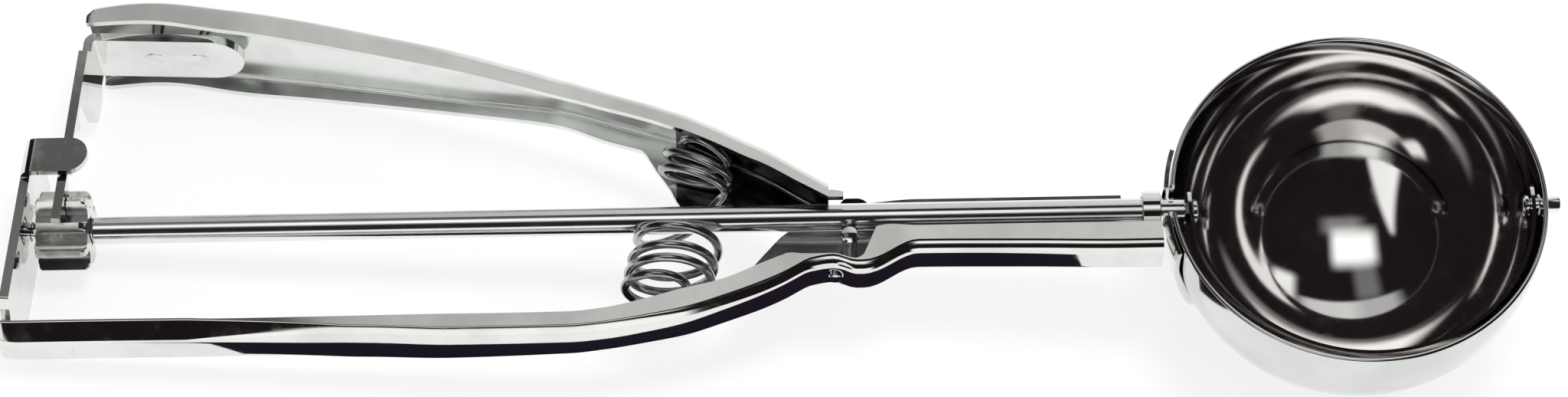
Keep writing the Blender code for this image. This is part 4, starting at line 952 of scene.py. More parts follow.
@dataclass
class Bowl:
    """The hemisphere and the saddle that joins it to the shank."""

    radius: float = 0.0240
    sheet: float = 0.000598
    rim: float = 0.0034
    rim_round: float = 0.00025
    slot: float = 0.0021
    tip_hole: float = 0.0014
    saddle_sheet: float = 0.0006
    saddle_half_width: float = 0.0078
    saddle_top: float = 0.0026
    saddle_depth: float = 0.0150
    saddle_toe: float = 0.0060
    saddle_share: float = 0.35

    @property
    def outer(self) -> float:
        """Outer radius of the bowl."""
        return self.radius + self.sheet

    @property
    def shank_end(self) -> float:
        """Distance from the bowl's centre to the end of the shank."""
        return self.outer + 2.0 * SEAT + self.saddle_sheet

    def build(self, shop: Workshop) -> None:
        """Make both pieces."""
        self.make_bowl(shop)
        self.make_saddle(shop)

    def make_bowl(self, shop: Workshop) -> None:
        """Make the hemisphere with its slot, its hole and its rounded rim.

        Args:
            shop: The workshop that dresses and mounts the pieces.
        """
        arc, profile = 72, []
        for i in range(arc):
            angle = math.pi / 2.0 * (i + 0.5) / arc
            profile.append((-self.outer * math.cos(angle), self.outer * math.sin(angle)))
        middle, half = self.radius + self.sheet / 2.0, self.sheet / 2.0
        profile.append((0.0, self.outer))
        for i in range(9):
            angle = math.pi * i / 8.0
            profile.append((self.rim - self.rim_round * (1.0 - math.sin(angle)),
                            middle + half * math.cos(angle)))
        profile.append((0.0, self.radius))
        for i in reversed(range(arc)):
            angle = math.pi / 2.0 * (i + 0.5) / arc
            profile.append((-self.radius * math.cos(angle), self.radius * math.sin(angle)))
        piece = shop.raw("spun_bowl", Shapes.turned(profile, (0, 0, 1), (0, 0, 0), 256))
        shop.work(piece, self.rod_slot(), Join.CUT)
        shop.drill(piece, (self.radius - self.sheet, self.outer + self.sheet), self.tip_hole,
                   ALONG)
        shop.finish(piece, BOWL_STEEL, Body.FRAME, Slot.BRIGHT, ("bowl",))
        shop.dress_outside(piece, SPUN_AND_SHADED_STEEL)

    def rod_slot(self) -> bmesh.types.BMesh:
        """Return the slot that lets the rod through the wall.

        Returns:
            The cutting shape.
        """
        ring, steps = [], 32
        for i in range(steps + 1):
            angle = math.pi + math.pi * i / steps
            ring.append((self.slot * math.cos(angle), self.slot * math.sin(angle)))
        top = self.rim + self.sheet
        ring += [(self.slot, top), (-self.slot, top)]
        ends = (-(self.shank_end + self.sheet), -(self.radius - 2.0 * self.sheet))
        return Shapes.ring_loft([[Vector((x, y, z)) for y, z in ring] for x in ends])

    def make_saddle(self, shop: Workshop) -> None:
        """Make the rounded tongue behind the bowl.

        Args:
            shop: The workshop that dresses and mounts the pieces.
        """
        rows, columns = 40, 24
        inside = self.outer + SEAT
        low = -math.asin(self.saddle_depth / inside)
        high = math.asin(self.saddle_top / inside)
        shape, grids = bmesh.new(), []
        for radius in (inside, inside + self.saddle_sheet):
            grid = []
            for i in range(rows + 1):
                tilt = low + (high - low) * i / rows
                toe = min((tilt - low) * inside / self.saddle_toe, 1.0)
                rounding = math.sqrt(1.0 - (1.0 - toe) ** 2)
                share = self.saddle_share + (1.0 - self.saddle_share) * rounding
                widest = math.asin(self.saddle_half_width / inside) * share
                line = []
                for j in range(columns + 1):
                    yaw = widest * (2.0 * j / columns - 1.0)
                    line.append(shape.verts.new((-radius * math.cos(yaw) * math.cos(tilt),
                                                 radius * math.sin(yaw),
                                                 radius * math.cos(yaw) * math.sin(tilt))))
                grid.append(line)
            grids.append(grid)
        inner, outer = grids
        for i in range(rows):
            for j in range(columns):
                for grid in grids:
                    shape.faces.new((grid[i][j], grid[i][j + 1],
                                     grid[i + 1][j + 1], grid[i + 1][j]))
            for j in (0, columns):
                shape.faces.new((inner[i][j], inner[i + 1][j], outer[i + 1][j], outer[i][j]))
        for j in range(columns):
            for i in (0, rows):
                shape.faces.new((inner[i][j], inner[i][j + 1], outer[i][j + 1], outer[i][j]))
        piece = shop.raw("saddle_tongue", shape)
        shop.work(piece, self.rod_slot(), Join.CUT)
        shop.finish(piece, SHEET_STEEL, Body.FRAME, Slot.POLISHED, ("bowl_saddle",), 0.00012)


SHANK = 0.0030
GRIP = 0.0040
LUG = 0.0042
SHEET = 0.0009
CORNER = 0.0015
ENDS = (-0.176, -0.030)
FIXED_FORM = Pressing(
    depth=((-0.152, -0.132), (0.9, 0.0)),
    bend=((-0.155, -0.135, -0.100, -0.078), (0.0003, 0.00025, 0.00025, 0.0015)),
    facet=((-0.152, -0.132), (0.80, 0.0)), slope=((-0.150, -0.132), (40.0, 45.0)),
    draft=((-0.150, -0.130), (0.0, 0.06)))
SQUEEZE_FORM = Pressing(depth=(ENDS, (0.0, 0.0)), bend=(ENDS, (0.0015, 0.0015)),
                        facet=(ENDS, (0.0, 0.0)), slope=(ENDS, (45.0, 45.0)),
                        draft=(ENDS, (-0.04, -0.04)))
PIVOT = Vector((-0.0666, -0.0043, 0.0))
FIXED_STATIONS: tuple[Station, ...] = (
    (0.1768, 0.0168, GRIP, 0.0015, 0.0015), (0.1764, 0.0173, GRIP, 0.0018, 0.0018),
    (0.1756, 0.0177, GRIP, 0.0022, 0.0022), (0.1740, 0.0179, GRIP, 0.0024, 0.0024),
    (0.1688, 0.0179, GRIP, 0.0024, 0.0024), (0.1486, 0.0180, GRIP, 0.0024, 0.0024),
    (0.1284, 0.0185, GRIP, 0.0030, 0.0030), (0.1183, 0.0189, 0.0039, 0.0035, 0.0035),
    (0.1031, 0.0187, 0.0036, 0.0035, 0.0035), (0.0981, 0.0182, 0.0035, 0.0036, 0.0036),
    (0.0930, 0.0173, 0.0034, 0.0040, 0.0040), (0.0880, 0.0162, 0.0033, 0.0044, 0.0044),
    (0.0829, 0.0144, 0.0031, 0.0040, 0.0043), (0.0779, 0.0124, SHANK, 0.0043, 0.0078),
    (0.0748, 0.0109, SHANK, 0.0041, 0.0096), (0.0733, 0.0100, SHANK, 0.0031, 0.0097),
    (0.0718, 0.0092, SHANK, 0.0022, 0.0099), (0.0688, 0.0087, SHANK, 0.0017, 0.0101),
    (0.0658, 0.0096, SHANK, 0.0018, 0.0112), (0.0648, 0.0096, SHANK, 0.0024, 0.0122),
    (0.0640, 0.0095, SHANK, 0.0042, 0.0124), (0.0631, 0.0092, SHANK, 0.0062, 0.0122),
    (0.0577, 0.0067, SHANK, 0.0037, 0.0102), (0.0440, 0.0069, SHANK, 0.0039, 0.0104),
    (0.0306, 0.0072, SHANK, 0.0042, 0.0107), (0.0300, 0.0072, SHANK, 0.0042, 0.0042))
SQUEEZE_STATIONS: tuple[Station, ...] = (
    (0.1674, 0.0292, 0.0084, 0.0022, 0.0020), (0.1666, 0.0299, 0.0086, 0.0030, 0.0027),
    (0.1593, 0.0307, 0.0086, 0.0036, 0.0031), (0.1481, 0.0292, 0.0087, 0.0040, 0.0034),
    (0.1390, 0.0277, 0.0082, 0.0040, 0.0033), (0.1285, 0.0256, 0.0074, 0.0039, 0.0031),
    (0.1183, 0.0234, 0.0065, 0.0037, 0.0029), (0.1082, 0.0210, 0.0049, 0.0034, 0.0030),
    (0.1039, 0.0199, 0.0043, 0.0033, 0.0033), (0.0981, 0.0179, LUG, 0.0031, 0.0038),
    (0.0940, 0.0165, LUG, 0.0030, 0.0037), (0.0920, 0.0158, LUG, 0.0030, 0.0062),
    (0.0900, 0.0150, LUG, 0.0030, 0.0086), (0.0886, 0.0145, LUG, 0.0030, 0.0109),
    (0.0840, 0.0123, LUG, 0.0030, 0.0087), (0.0820, 0.0112, LUG, 0.0030, 0.0083),
    (0.0800, 0.0101, LUG, 0.0030, 0.0081), (0.0779, 0.0090, LUG, 0.0029, 0.0080),
    (0.0728, 0.0056, LUG, 0.0027, 0.0059), (0.0705, 0.0041, LUG, 0.0026, 0.0071),
    (0.0692, 0.0033, LUG, 0.0026, 0.0084))


@dataclass
class FixedHandle:
    """Grip, neck and shank in one channel, with the parts that it carries."""

    dark_from: float = 0.0
    end: float = 0.1768
    pin_radius: float = 0.00085
    pin_body_radius: float = 0.0010
    pin_head_radius: float = 0.0012
    pin_head_length: float = 0.0009
    pin_top: float = 0.0033
    tail_radius: float = 0.0015
    tail_length: float = 0.0006
    washer_radius: float = 0.0021
    washer_sheet: float = 0.0005
    rivet_distance: float = 0.0685
    rivet_head: float = 0.0011
    rivet_proud: float = 0.0004
    collar_sheet: float = 0.0006
    collar_length: float = 0.0024
    collar_foot: float = 0.0016

    def build(self, shop: Workshop, channel: Channel, bowl: Bowl) -> None:
        """Make the handle, its bearing, its pivot and its rivet.

        Args:
            shop: The workshop that dresses and mounts the pieces.
            channel: The handle's pressed channel.
            bowl: The bowl, whose sizes the shank meets.
        """
        piece = shop.raw("pressed_grip_and_shank", channel.solid(-self.end, -bowl.shank_end))
        shop.drill(piece, (-SHANK - SHEET, -SHANK + 2.0 * SHEET), self.pin_radius + SEAT,
                   UPRIGHT, PIVOT)
        shop.finish(piece, SHEET_STEEL, Body.FRAME, Slot.POLISHED, ("fixed_handle",), 0.00005)
        shop.dress_inside(piece, channel.side, self.dark_from)
        self.make_bearing(shop, channel, bowl)
        self.make_pivot(shop)
        x = -self.rivet_distance
        Rivet(head=self.rivet_head, proud=self.rivet_proud).build(
            shop, "shank_rivet_head", Vector((x, channel.web(x), 0.0)), Vector((0, -1, 0)),
            Vector((x, channel.web_inner(x), 0.0)), Body.FRAME, "shank_rivet")

    def make_bearing(self, shop: Workshop, channel: Channel, bowl: Bowl) -> None:
        """Make the collar that carries the rod behind the bowl.

        Args:
            shop: The workshop that dresses and mounts the pieces.
            channel: The handle's pressed channel.
            bowl: The bowl, whose sizes the shank meets.
        """
        bore = bowl.slot
        outer = bore + self.collar_sheet
        low, high = -(bowl.shank_end + self.collar_length), -bowl.shank_end
        floor = channel.web_inner(high) + SEAT
        start = math.asin(self.collar_foot / outer)
        ring, steps = [(floor, -self.collar_foot)], 72
        for i in range(steps + 1):
            angle = start + (2.0 * math.pi - 2.0 * start) * i / steps
            ring.append((-outer * math.cos(angle), -outer * math.sin(angle)))
        ring.append((floor, self.collar_foot))
        solid = Shapes.ring_loft([[Vector((x, y, z)) for y, z in ring] for x in (low, high)])
        piece = shop.raw("rod_collar", solid)
        shop.drill(piece, (low - self.collar_sheet, high + self.collar_sheet), bore, ALONG,
                   steps=96)
        shop.finish(piece, SHEET_STEEL, Body.FRAME, Slot.POLISHED, ("front_bearing",), 0.00012)

    def make_pivot(self, shop: Workshop) -> None:
        """Make the pivot pin and its washer.

        Args:
            shop: The workshop that dresses and mounts the pieces.
        """
        inner = -SHANK + SHEET + SEAT
        washer_top = -(LUG + SEAT)
        washer_low = washer_top - self.washer_sheet
        tail, top, head = washer_low - SEAT, self.pin_top, self.pin_head_radius
        profile = [(tail - self.tail_length, self.tail_radius * 0.5),
                   (tail - self.tail_length * 0.8, self.tail_radius * 0.8),
                   (tail - self.tail_length * 0.4, self.tail_radius),
                   (tail, self.tail_radius), (tail, self.pin_radius), (inner, self.pin_radius),
                   (inner, self.pin_body_radius),
                   (top - self.pin_head_length, self.pin_body_radius),
                   (top - self.pin_head_length, head), (top - self.pin_head_length * 0.4, head),
                   (top - self.pin_head_length * 0.12, head * 0.85), (top, head * 0.55)]
        piece = shop.raw("handle_pivot_pin", Shapes.turned(profile, (0, 0, 1), PIVOT))
        shop.finish(piece, RIVET_STEEL, Body.FRAME, Slot.BRIGHT, ("pivot_pin",))
        washer = shop.raw("pivot_tail_washer", Shapes.turned(
            [(washer_low, self.washer_radius), (washer_top, self.washer_radius)], (0, 0, 1),
            PIVOT))
        shop.drill(washer, (washer_low - SHEET, washer_top + SHEET), self.pin_radius + SEAT,
                   UPRIGHT, PIVOT)
        shop.finish(washer, SHEET_STEEL, Body.FRAME, Slot.POLISHED, ("pivot_washer",), 0.00008)


@dataclass
class Rivet:
    """A small rivet with a low domed head inside the channel."""

    radius: float = 0.0008
    head: float = 0.0014
    height: float = 0.0002
    proud: float = 0.0

    def build(self, shop: Workshop, name: str, web: Vector, out: Vector, inside: Vector,
              body: Body, node: str) -> None:
        """Make the rivet.

        Args:
            shop: The workshop.
            name: The piece's name.
            web: A point on the web's outer face.
            out: The direction out of the channel.
            inside: The point on the inner sheet's face.
            body: The body it rides on.
            node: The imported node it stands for.
        """
        depth = (web - inside).dot(out)
        profile = [(-self.height, self.head * 0.30), (-self.height * 0.9, self.head * 0.60),
                   (-self.height * 0.6, self.head * 0.84), (-self.height * 0.2, self.head * 0.97),
                   (0.0, self.head), (0.0, self.radius)]
        if self.proud:
            top = depth + SEAT
            profile += [(top, self.radius), (top, self.head),
                        (top + self.proud * 0.6, self.head * 0.9),
                        (top + self.proud, self.head * 0.5)]
        else:
            profile.append((depth, self.radius))
        piece = shop.raw(name, Shapes.turned(profile, tuple(out), inside, 48))
        shop.finish(piece, RIVET_STEEL, body, Slot.BRIGHT, (node,))


@dataclass
class EndBracket:
    """The bent strip that closes the grip's end and guides the rack."""

    distance: float = 0.1744
    lean: float = 0.070
    sheet: float = 0.0012
    top: float = 0.0100
    half_width: float = 0.0060
    neck: float = 0.0028
    flare_low: float = 0.0150
    flare_high: float = 0.0130
    foot: float = 0.0170
    bend: float = 0.0018
    corner: float = 0.0016
    guide_sheet: float = 0.0010
    guide_low: float = 0.0047
    guide_high: float = 0.0097
    guide_reach: float = 0.0080
    guide_bend: float = 0.0016
    guide_root: float = 0.0020
    guide_face: float = 0.0066
    stub_hole: float = 0.0013
    rivet_inset: float = 0.0036
    rivet_pitch: float = 0.0060

    def plate_x(self, y: float) -> float:
        """Return the X of the plate's middle at a height."""
        return self.lean * y - self.distance

    def foot_y(self, channel: Channel) -> float:
        """Return the Y of the foot's middle."""
        ends = (-(self.distance - self.foot), -0.173715)
        return max(channel.web_inner(x) for x in ends) + SEAT + self.sheet / 2.0

    def build(self, shop: Workshop, channel: Channel) -> None:
        """Make the bracket and its two rivets.

        Args:
            shop: The workshop that dresses and mounts the pieces.
            channel: The handle's pressed channel.
        """
        foot_y, stations = self.foot_y(channel), []
        foot_x = -(self.distance - self.foot)
        for i in range(10):
            share = i / 9.0
            reach = self.neck * math.sqrt(max(1.0 - (1.0 - share) ** 2, 0.06))
            stations.append((foot_x - self.neck * share, foot_y, -reach, reach))
        corner = Vector((self.plate_x(foot_y), foot_y, 0.0))
        for point in Shapes.bend(corner, Vector((-1, 0, 0)), Vector((self.lean, 1, 0)),
                                 self.bend - self.sheet / 2.0):
            stations.append((point.x, point.y, -self.neck, self.neck))
        for i in range(17):
            share = i / 16.0
            ease = share * share * (3.0 - 2.0 * share)
            y = -self.flare_low + (self.flare_low - self.flare_high) * share
            width = self.neck + (self.half_width - self.neck) * ease
            stations.append((self.plate_x(y), y, -width, width))
        for i in range(9):
            angle = math.pi / 2.0 * i / 8.0
            y = self.top - self.corner * (1.0 - math.sin(angle))
            width = self.half_width - self.corner * (1.0 - math.cos(angle))
            stations.append((self.plate_x(y), y, -width, width))
        piece = shop.raw("bracket_plate", Shapes.strip(stations, self.sheet))
        shop.work(piece, self.guide(), Join.ADD)
        shop.drill(piece, (-self.distance - 2.0 * self.sheet,
                           -self.distance + 2.0 * self.sheet), self.stub_hole, ALONG)
        shop.finish(piece, SHEET_STEEL, Body.FRAME, Slot.POLISHED, ("end_bracket",), 0.00016)
        for number in (1, 2):
            x = foot_x - self.rivet_inset - self.rivet_pitch * (number - 1)
            Rivet().build(shop, f"grip_rivet_{number}", Vector((x, channel.web(x), 0.0)),
                          Vector((0, -1, 0)), Vector((x, foot_y + self.sheet / 2.0, 0.0)),
                          Body.FRAME, f"bracket_rivet_{number}")

    def guide(self) -> bmesh.types.BMesh:
        """Return the tab that holds the rack to the pinion.

        Returns:
            The tab's shape.
        """
        middle = self.guide_face + self.guide_sheet / 2.0
        corner = Vector((-self.distance, middle, 0.0))
        start = Vector((-self.distance, self.half_width - self.guide_root, 0.0))
        path = [start] + Shapes.bend(corner, Vector((0, 1, 0)), Vector((1, 0, 0)),
                                     self.guide_bend - self.guide_sheet / 2.0)
        tip = -self.distance + self.guide_reach
        half = (self.guide_high - self.guide_low) / 2.0
        centre = (self.guide_high + self.guide_low) / 2.0
        stations = [(p.x, p.y, centre - half, centre + half) for p in path]
        for i in range(13):
            share = math.sin(math.pi / 2.0 * i / 12.0)
            reach = half * math.sqrt(max(1.0 - share * share, 0.03))
            stations.append((tip - half * (1.0 - share), middle,
                             centre - reach, centre + reach))
        shape = Shapes.strip(stations, self.guide_sheet)
        for vertex in shape.verts:
            x, y, z = vertex.co
            vertex.co = Vector((x + self.lean * z, z, y))
        return shape


@dataclass
class SqueezedHandle:
    """The handle that the fingers squeeze, and the rack that it carries."""

    # Inner faces past this X get a near-black painted shade in place of dark reflections.
    dark_from: float = -0.0895
    near_tail: float = 0.0019
    near_tip: float = 0.0008
    lug_top: float = 0.0046
    lug_rise: float = 0.0024
    lug_corner: float = 0.0016
    boss: float = 0.0028
    pin_hole: float = 0.00115
    small_hole: float = 0.0005
    small_hole_at: Point = (-0.0824, 0.0080, 0.0)
    lever: float = 0.1029
    squeeze: float = math.radians(178.0) * 0.0043 / 0.1029
    rack_sheet: float = 0.0012
    foot_length: float = 0.0200
    foot_half: float = 0.0044
    rack_half: float = 0.0060
    rack_bend: float = 0.0016
    rack_end: float = 0.0020
    flare: float = 0.0010
    teeth: int = 5
    tooth: float = 0.00125
    addendum: float = 0.0008
    dedendum: float = 0.0011
    rail: float = 0.0009
    flank: float = math.radians(20.0)
    mesh_room: float = 0.0012
    pitch_radius: float = 0.0043
    pinion_outer: float = 0.0052
    tooth_pitch: float = 2.0 * math.pi * 0.0043 / 8.0
    rivet_inset: float = 0.0060
    rivet_pitch: float = 0.0060

    def build(self, shop: Workshop, channel: Channel) -> None:
        """Make the handle, its rack and its rivets.

        Args:
            shop: The workshop that dresses and mounts the pieces.
            channel: The handle's pressed channel.
        """
        start, end = channel.columns[0][0], channel.columns[0][-1]
        web = channel.web(end)
        low = web - channel.value(3, end)
        tail = []
        for i in range(1, 13):
            share = i / 12.0
            sink = share * share * (web - CORNER - low - self.near_tip)
            tail.append((end + self.near_tail * share, web - CORNER - sink, low))
        piece = shop.raw("pressed_squeeze_handle",
                         channel.solid(start, end, tail, self.lug_outline(channel, end)))
        for radius, place in ((self.pin_hole, PIVOT), (self.small_hole, self.small_hole_at)):
            shop.drill(piece, (-LUG - SHEET, -SHANK), radius, UPRIGHT, place)
        shop.finish(piece, SHEET_STEEL, Body.GRIP, Slot.POLISHED, ("squeeze_handle",), 0.00005)
        shop.dress_inside(piece, channel.side, self.dark_from)
        self.make_rack(shop, channel)

    def lug_outline(self, channel: Channel, end: float) -> list[Point]:
        """Return the lug's (X, upper Y, lower Y) from the web's end to its nose.

        Args:
            channel: The handle's pressed channel.
            end: X of the web's end.

        Returns:
            The places in order of X.
        """
        nose = PIVOT.x + self.boss
        start_top = channel.web(end) - CORNER
        start_low = channel.web(end) - channel.value(4, end)
        corner_x = nose - self.lug_corner
        places, steps = [], 48
        for i in range(1, steps):
            places.append(PIVOT.x - self.boss * math.cos(math.pi * i / steps))
        places = [x for x in places if x > end + SEAT / 4.0]
        outline = []
        for x in places:
            rise = min((x - end) / self.lug_rise, 1.0)
            top = start_top + (self.lug_top - start_top) * rise * rise * (3.0 - 2.0 * rise)
            if x > corner_x:
                depth = max(self.lug_corner ** 2 - (x - corner_x) ** 2, 0.0)
                top -= self.lug_corner - math.sqrt(depth)
            low = PIVOT.y - math.sqrt(max(self.boss ** 2 - (x - PIVOT.x) ** 2, 0.0))
            outline.append((x, top, min(low, start_low) if x < PIVOT.x else low))
        return outline

    def foot_line(self, channel: Channel) -> tuple[Vector, Vector]:
        """Return the middle of the foot's two ends, under the handle's web.

        Args:
            channel: The handle's pressed channel.

        Returns:
            The head's point and the toe's.
        """
        start = channel.columns[0][0]
        inset = SHEET + SEAT + self.rack_sheet / 2.0
        head, toe = [Vector((x, channel.web(x) - inset, 0.0))
                     for x in (start + SHEET, start + self.foot_length)]
        slope = (toe.y - head.y) / (toe.x - head.x)
        dips = [0.0]
        for i in range(21):
            x = start + self.foot_length * i / 20.0
            dips.append(head.y + slope * (x - head.x) + inset - channel.web(x))
        drop = Vector((0.0, max(dips), 0.0))
        return head - drop, toe - drop

    def make_rack(self, shop: Workshop, channel: Channel) -> None:
        """Make the bent strip with the toothed rail, and its rivets.

        Args:
            shop: The workshop that dresses and mounts the pieces.
            channel: The handle's pressed channel.
        """
        half = self.squeeze / 2.0
        up = Vector((math.sin(half), math.cos(half), 0.0))
        tangent = PIVOT + Vector((-up.y, up.x, 0.0)) * self.lever
        head, toe = self.foot_line(channel)
        run = (head - toe).normalized()
        offset = (head - tangent).cross(up).z / run.cross(up).z
        corner = head - run * offset
        stations = []
        for i in range(13):
            share = 1.0 - math.cos(math.pi / 2.0 * i / 12.0)
            reach = self.foot_half * math.sqrt(max(1.0 - (1.0 - share) ** 2, 0.03))
            point = toe + run * (self.foot_half * share)
            stations.append((point.x, point.y, -reach, reach))
        for point in Shapes.bend(corner, run, -up, self.rack_bend - self.rack_sheet / 2.0):
            stations.append((point.x, point.y, -self.foot_half, self.foot_half))
        for height, low, high in self.rack_edges(corner, tangent, up):
            point = tangent + up * height
            stations.append((point.x, point.y, low, high))
        piece = shop.raw("toothed_rack", Shapes.strip(stations, self.rack_sheet))
        shop.finish(piece, SHEET_STEEL, Body.GRIP, Slot.POLISHED, ("rack",), 0.00012)
        out = Vector((-run.y, run.x, 0.0))
        out = out if out.y > 0.0 else -out
        for number in (1, 2):
            on_foot = toe + run * (self.rivet_inset + self.rivet_pitch * (number - 1))
            Rivet().build(shop, f"rack_foot_rivet_{number}",
                          Vector((on_foot.x, channel.web(on_foot.x), 0.0)), out,
                          on_foot - out * (self.rack_sheet / 2.0), Body.GRIP,
                          f"rack_rivet_{number}")

    def rack_edges(self, corner: Vector, tangent: Vector, up: Vector) -> list[Point]:
        """Return (height on the rack's line, far edge, near edge) from the bend down.

        Args:
            corner: Where the foot's line meets the rack's line.
            tangent: Where the rack touches the pitch circle.
            up: The rack's direction.

        Returns:
            The strip's edges in order.
        """
        first = -tangent.y / up.y
        last = first + (self.teeth - 1) * self.tooth_pitch
        tip, root = self.pitch_radius - self.addendum, self.pitch_radius + self.dedendum
        back = root + self.rail
        slope = math.tan(self.flank)
        root_half = self.tooth / 2.0 + self.dedendum * slope
        tip_half = self.tooth / 2.0 - self.addendum * slope
        shoulder = last + self.tooth_pitch - root_half
        travel = self.lever * 2.0 * math.sin(self.squeeze / 2.0)
        clear = first + travel + self.pinion_outer + self.mesh_room
        below = (corner - tangent).dot(up) - self.rack_bend * 1.5
        edges = [(below, -self.foot_half, self.foot_half),
                 (below - self.flare, -self.rack_half, back),
                 (clear + self.flare, -self.rack_half, back),
                 (clear, -self.rack_half + self.flare, back),
                 (clear - self.flare, tip - self.flare, back),
                 (shoulder + self.flare, tip, back), (shoulder, root, back)]
        for tooth in reversed(range(self.teeth)):
            middle = first + tooth * self.tooth_pitch
            edges += [(middle + root_half, root, back), (middle + tip_half, tip, back),
                      (middle - tip_half, tip, back), (middle - root_half, root, back)]
        end = first - self.rack_end
        return edges + [(end + self.rail * 0.3, root, back),
                        (end, root + self.rail * 0.3, back - self.rail * 0.3)]


@dataclass
class BarrelSpring:
    """The wire spring between the handles, with the rod between its curls."""

    wire: float = 0.0006
    axis_distance: float = 0.0882
    lean: float = 0.22
    end_radius: float = 0.0015
    top_radius: float = 0.0024
    start: float = -4.25
    finish: float = 3.0
    beside_rod: float = 0.13      # turns at which the wire comes up beside the rod
    course: tuple[Station, ...] = (
        (-3.75, -0.0116, 0.0015, 0.0015, 0.0), (-3.00, -0.0101, 0.0055, 0.0055, 0.0),
        (0.00, -0.0029, 0.0055, 0.0055, 0.0), (0.25, 0.0006, 0.0050, 0.0046, 0.0),
        (0.35, 0.0027, 0.0044, 0.0032, 0.0), (0.42, 0.0041, 0.0042, 0.0028, -0.10),
        (0.50, 0.0052, 0.0042, 0.0025, -0.25), (1.50, 0.0075, 0.0044, 0.0024, -0.34),
        (2.50, 0.0099, 0.0036, 0.0024, -0.42))
    curl_points: int = 40
    sides: int = 20

    def centre(self, y: float) -> float:
        """Return the X of the spring's leaning axis at a height."""
        return -self.axis_distance + self.lean * y

    @staticmethod
    def angle(turns: float) -> float:
        """Return the angle about the spring's axis at a number of turns."""
        return math.pi + 2.0 * math.pi * turns

    def leg(self, channel: Channel, radius: float, turns: float,
            side: float) -> tuple[Vector, Vector]:
        """Return the two ends of a straight leg, square to a handle's web.

        Args:
            channel: The handle's pressed channel.
            radius: The leg's distance from the spring's axis.
            turns: Where the leg stands round the axis.
            side: Plus one for a leg that rises, minus one for one that hangs.

        Returns:
            The end on the web and the free end.
        """
        x, angle = -self.axis_distance, self.angle(turns)
        for _ in range(8):
            x = self.centre(channel.web_inner(x)) + radius * math.cos(angle)
        slope = channel.web_slope(x)
        out = Vector((-slope, 1.0, 0.0)).normalized() * side
        foot = Vector((x, channel.web_inner(x), radius * math.sin(angle)))
        clear = SEAT + self.wire * abs(slope)
        return foot + out * clear, foot + out * (clear + 2.0 * self.wire)

    def line(self, fixed: Channel, squeezed: Channel) -> list[Vector]:
        """Return the wire's centre line from the fixed handle to the other.

        Args:
            fixed: The fixed handle's channel.
            squeezed: The squeezed handle's channel.

        Returns:
            The points in order.
        """
        low = self.leg(fixed, self.end_radius, self.start, 1.0)
        high = self.leg(squeezed, self.top_radius, self.finish, -1.0)
        knots = [(self.start, low[1].y, self.end_radius, self.end_radius, 0.0), *self.course,
                 (self.finish, high[1].y, self.top_radius, self.top_radius, 0.0)]
        turns, heights, lengths, depths, slopes = zip(*knots)
        steps = math.ceil((self.finish - self.start) * self.curl_points)
        points = [low[0]]
        for i in range(steps + 1):
            turn = self.start + (self.finish - self.start) * i / steps
            y = Shapes.eased(turns, heights, turn)
            angle = self.angle(turn)
            along = Shapes.eased(turns, lengths, turn) * math.cos(angle)
            across = Shapes.eased(turns, depths, turn) * math.sin(angle)
            points.append(Vector((self.centre(y) + along,
                                  y + Shapes.eased(turns, slopes, turn) * along, across)))
        points[1], points[-1] = low[1], high[1]
        points.append(high[0])
        return points

    def build(self, shop: Workshop, fixed: Channel, squeezed: Channel, keep: float) -> None:
        """Make the spring in two pieces, below and above the rod.

        Args:
            shop: The workshop.
            fixed: The fixed handle's channel.
            squeezed: The squeezed handle's channel.
            keep: Share of the upper coils' height meant to be left at the end of the squeeze; not
                used.
        """
        points = self.line(fixed, squeezed)
        runs = [(points[min(i + 1, len(points) - 1)] - points[max(i - 1, 0)]).normalized()
                for i in range(len(points))]
        side = runs[0].orthogonal().normalized()
        rings = []
        for point, run in zip(points, runs):
            side = (side - run * side.dot(run)).normalized()
            beside = run.cross(side)
            ring = []
            for i in range(self.sides):
                angle = 2.0 * math.pi * i / self.sides
                ring.append(point + (side * math.cos(angle) + beside * math.sin(angle))
                            * self.wire)
            rings.append(ring)
        meet = 1 + round((self.beside_rod - self.start) * self.curl_points)
        lower = shop.raw("spring_lower_coils", Shapes.ring_loft(rings[:meet + 1]))
        upper = shop.raw("spring_upper_coils", Shapes.ring_loft(rings[meet:]))
        for piece in (lower, upper):
            shop.finish(piece, WIRE_STEEL, Body.FRAME, Slot.WIRE, ("spring",))
        tuple(shop.tool.direction(Vector((0, 1, 0))))
        tuple(shop.tool.place(points[meet]))
        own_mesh(upper)


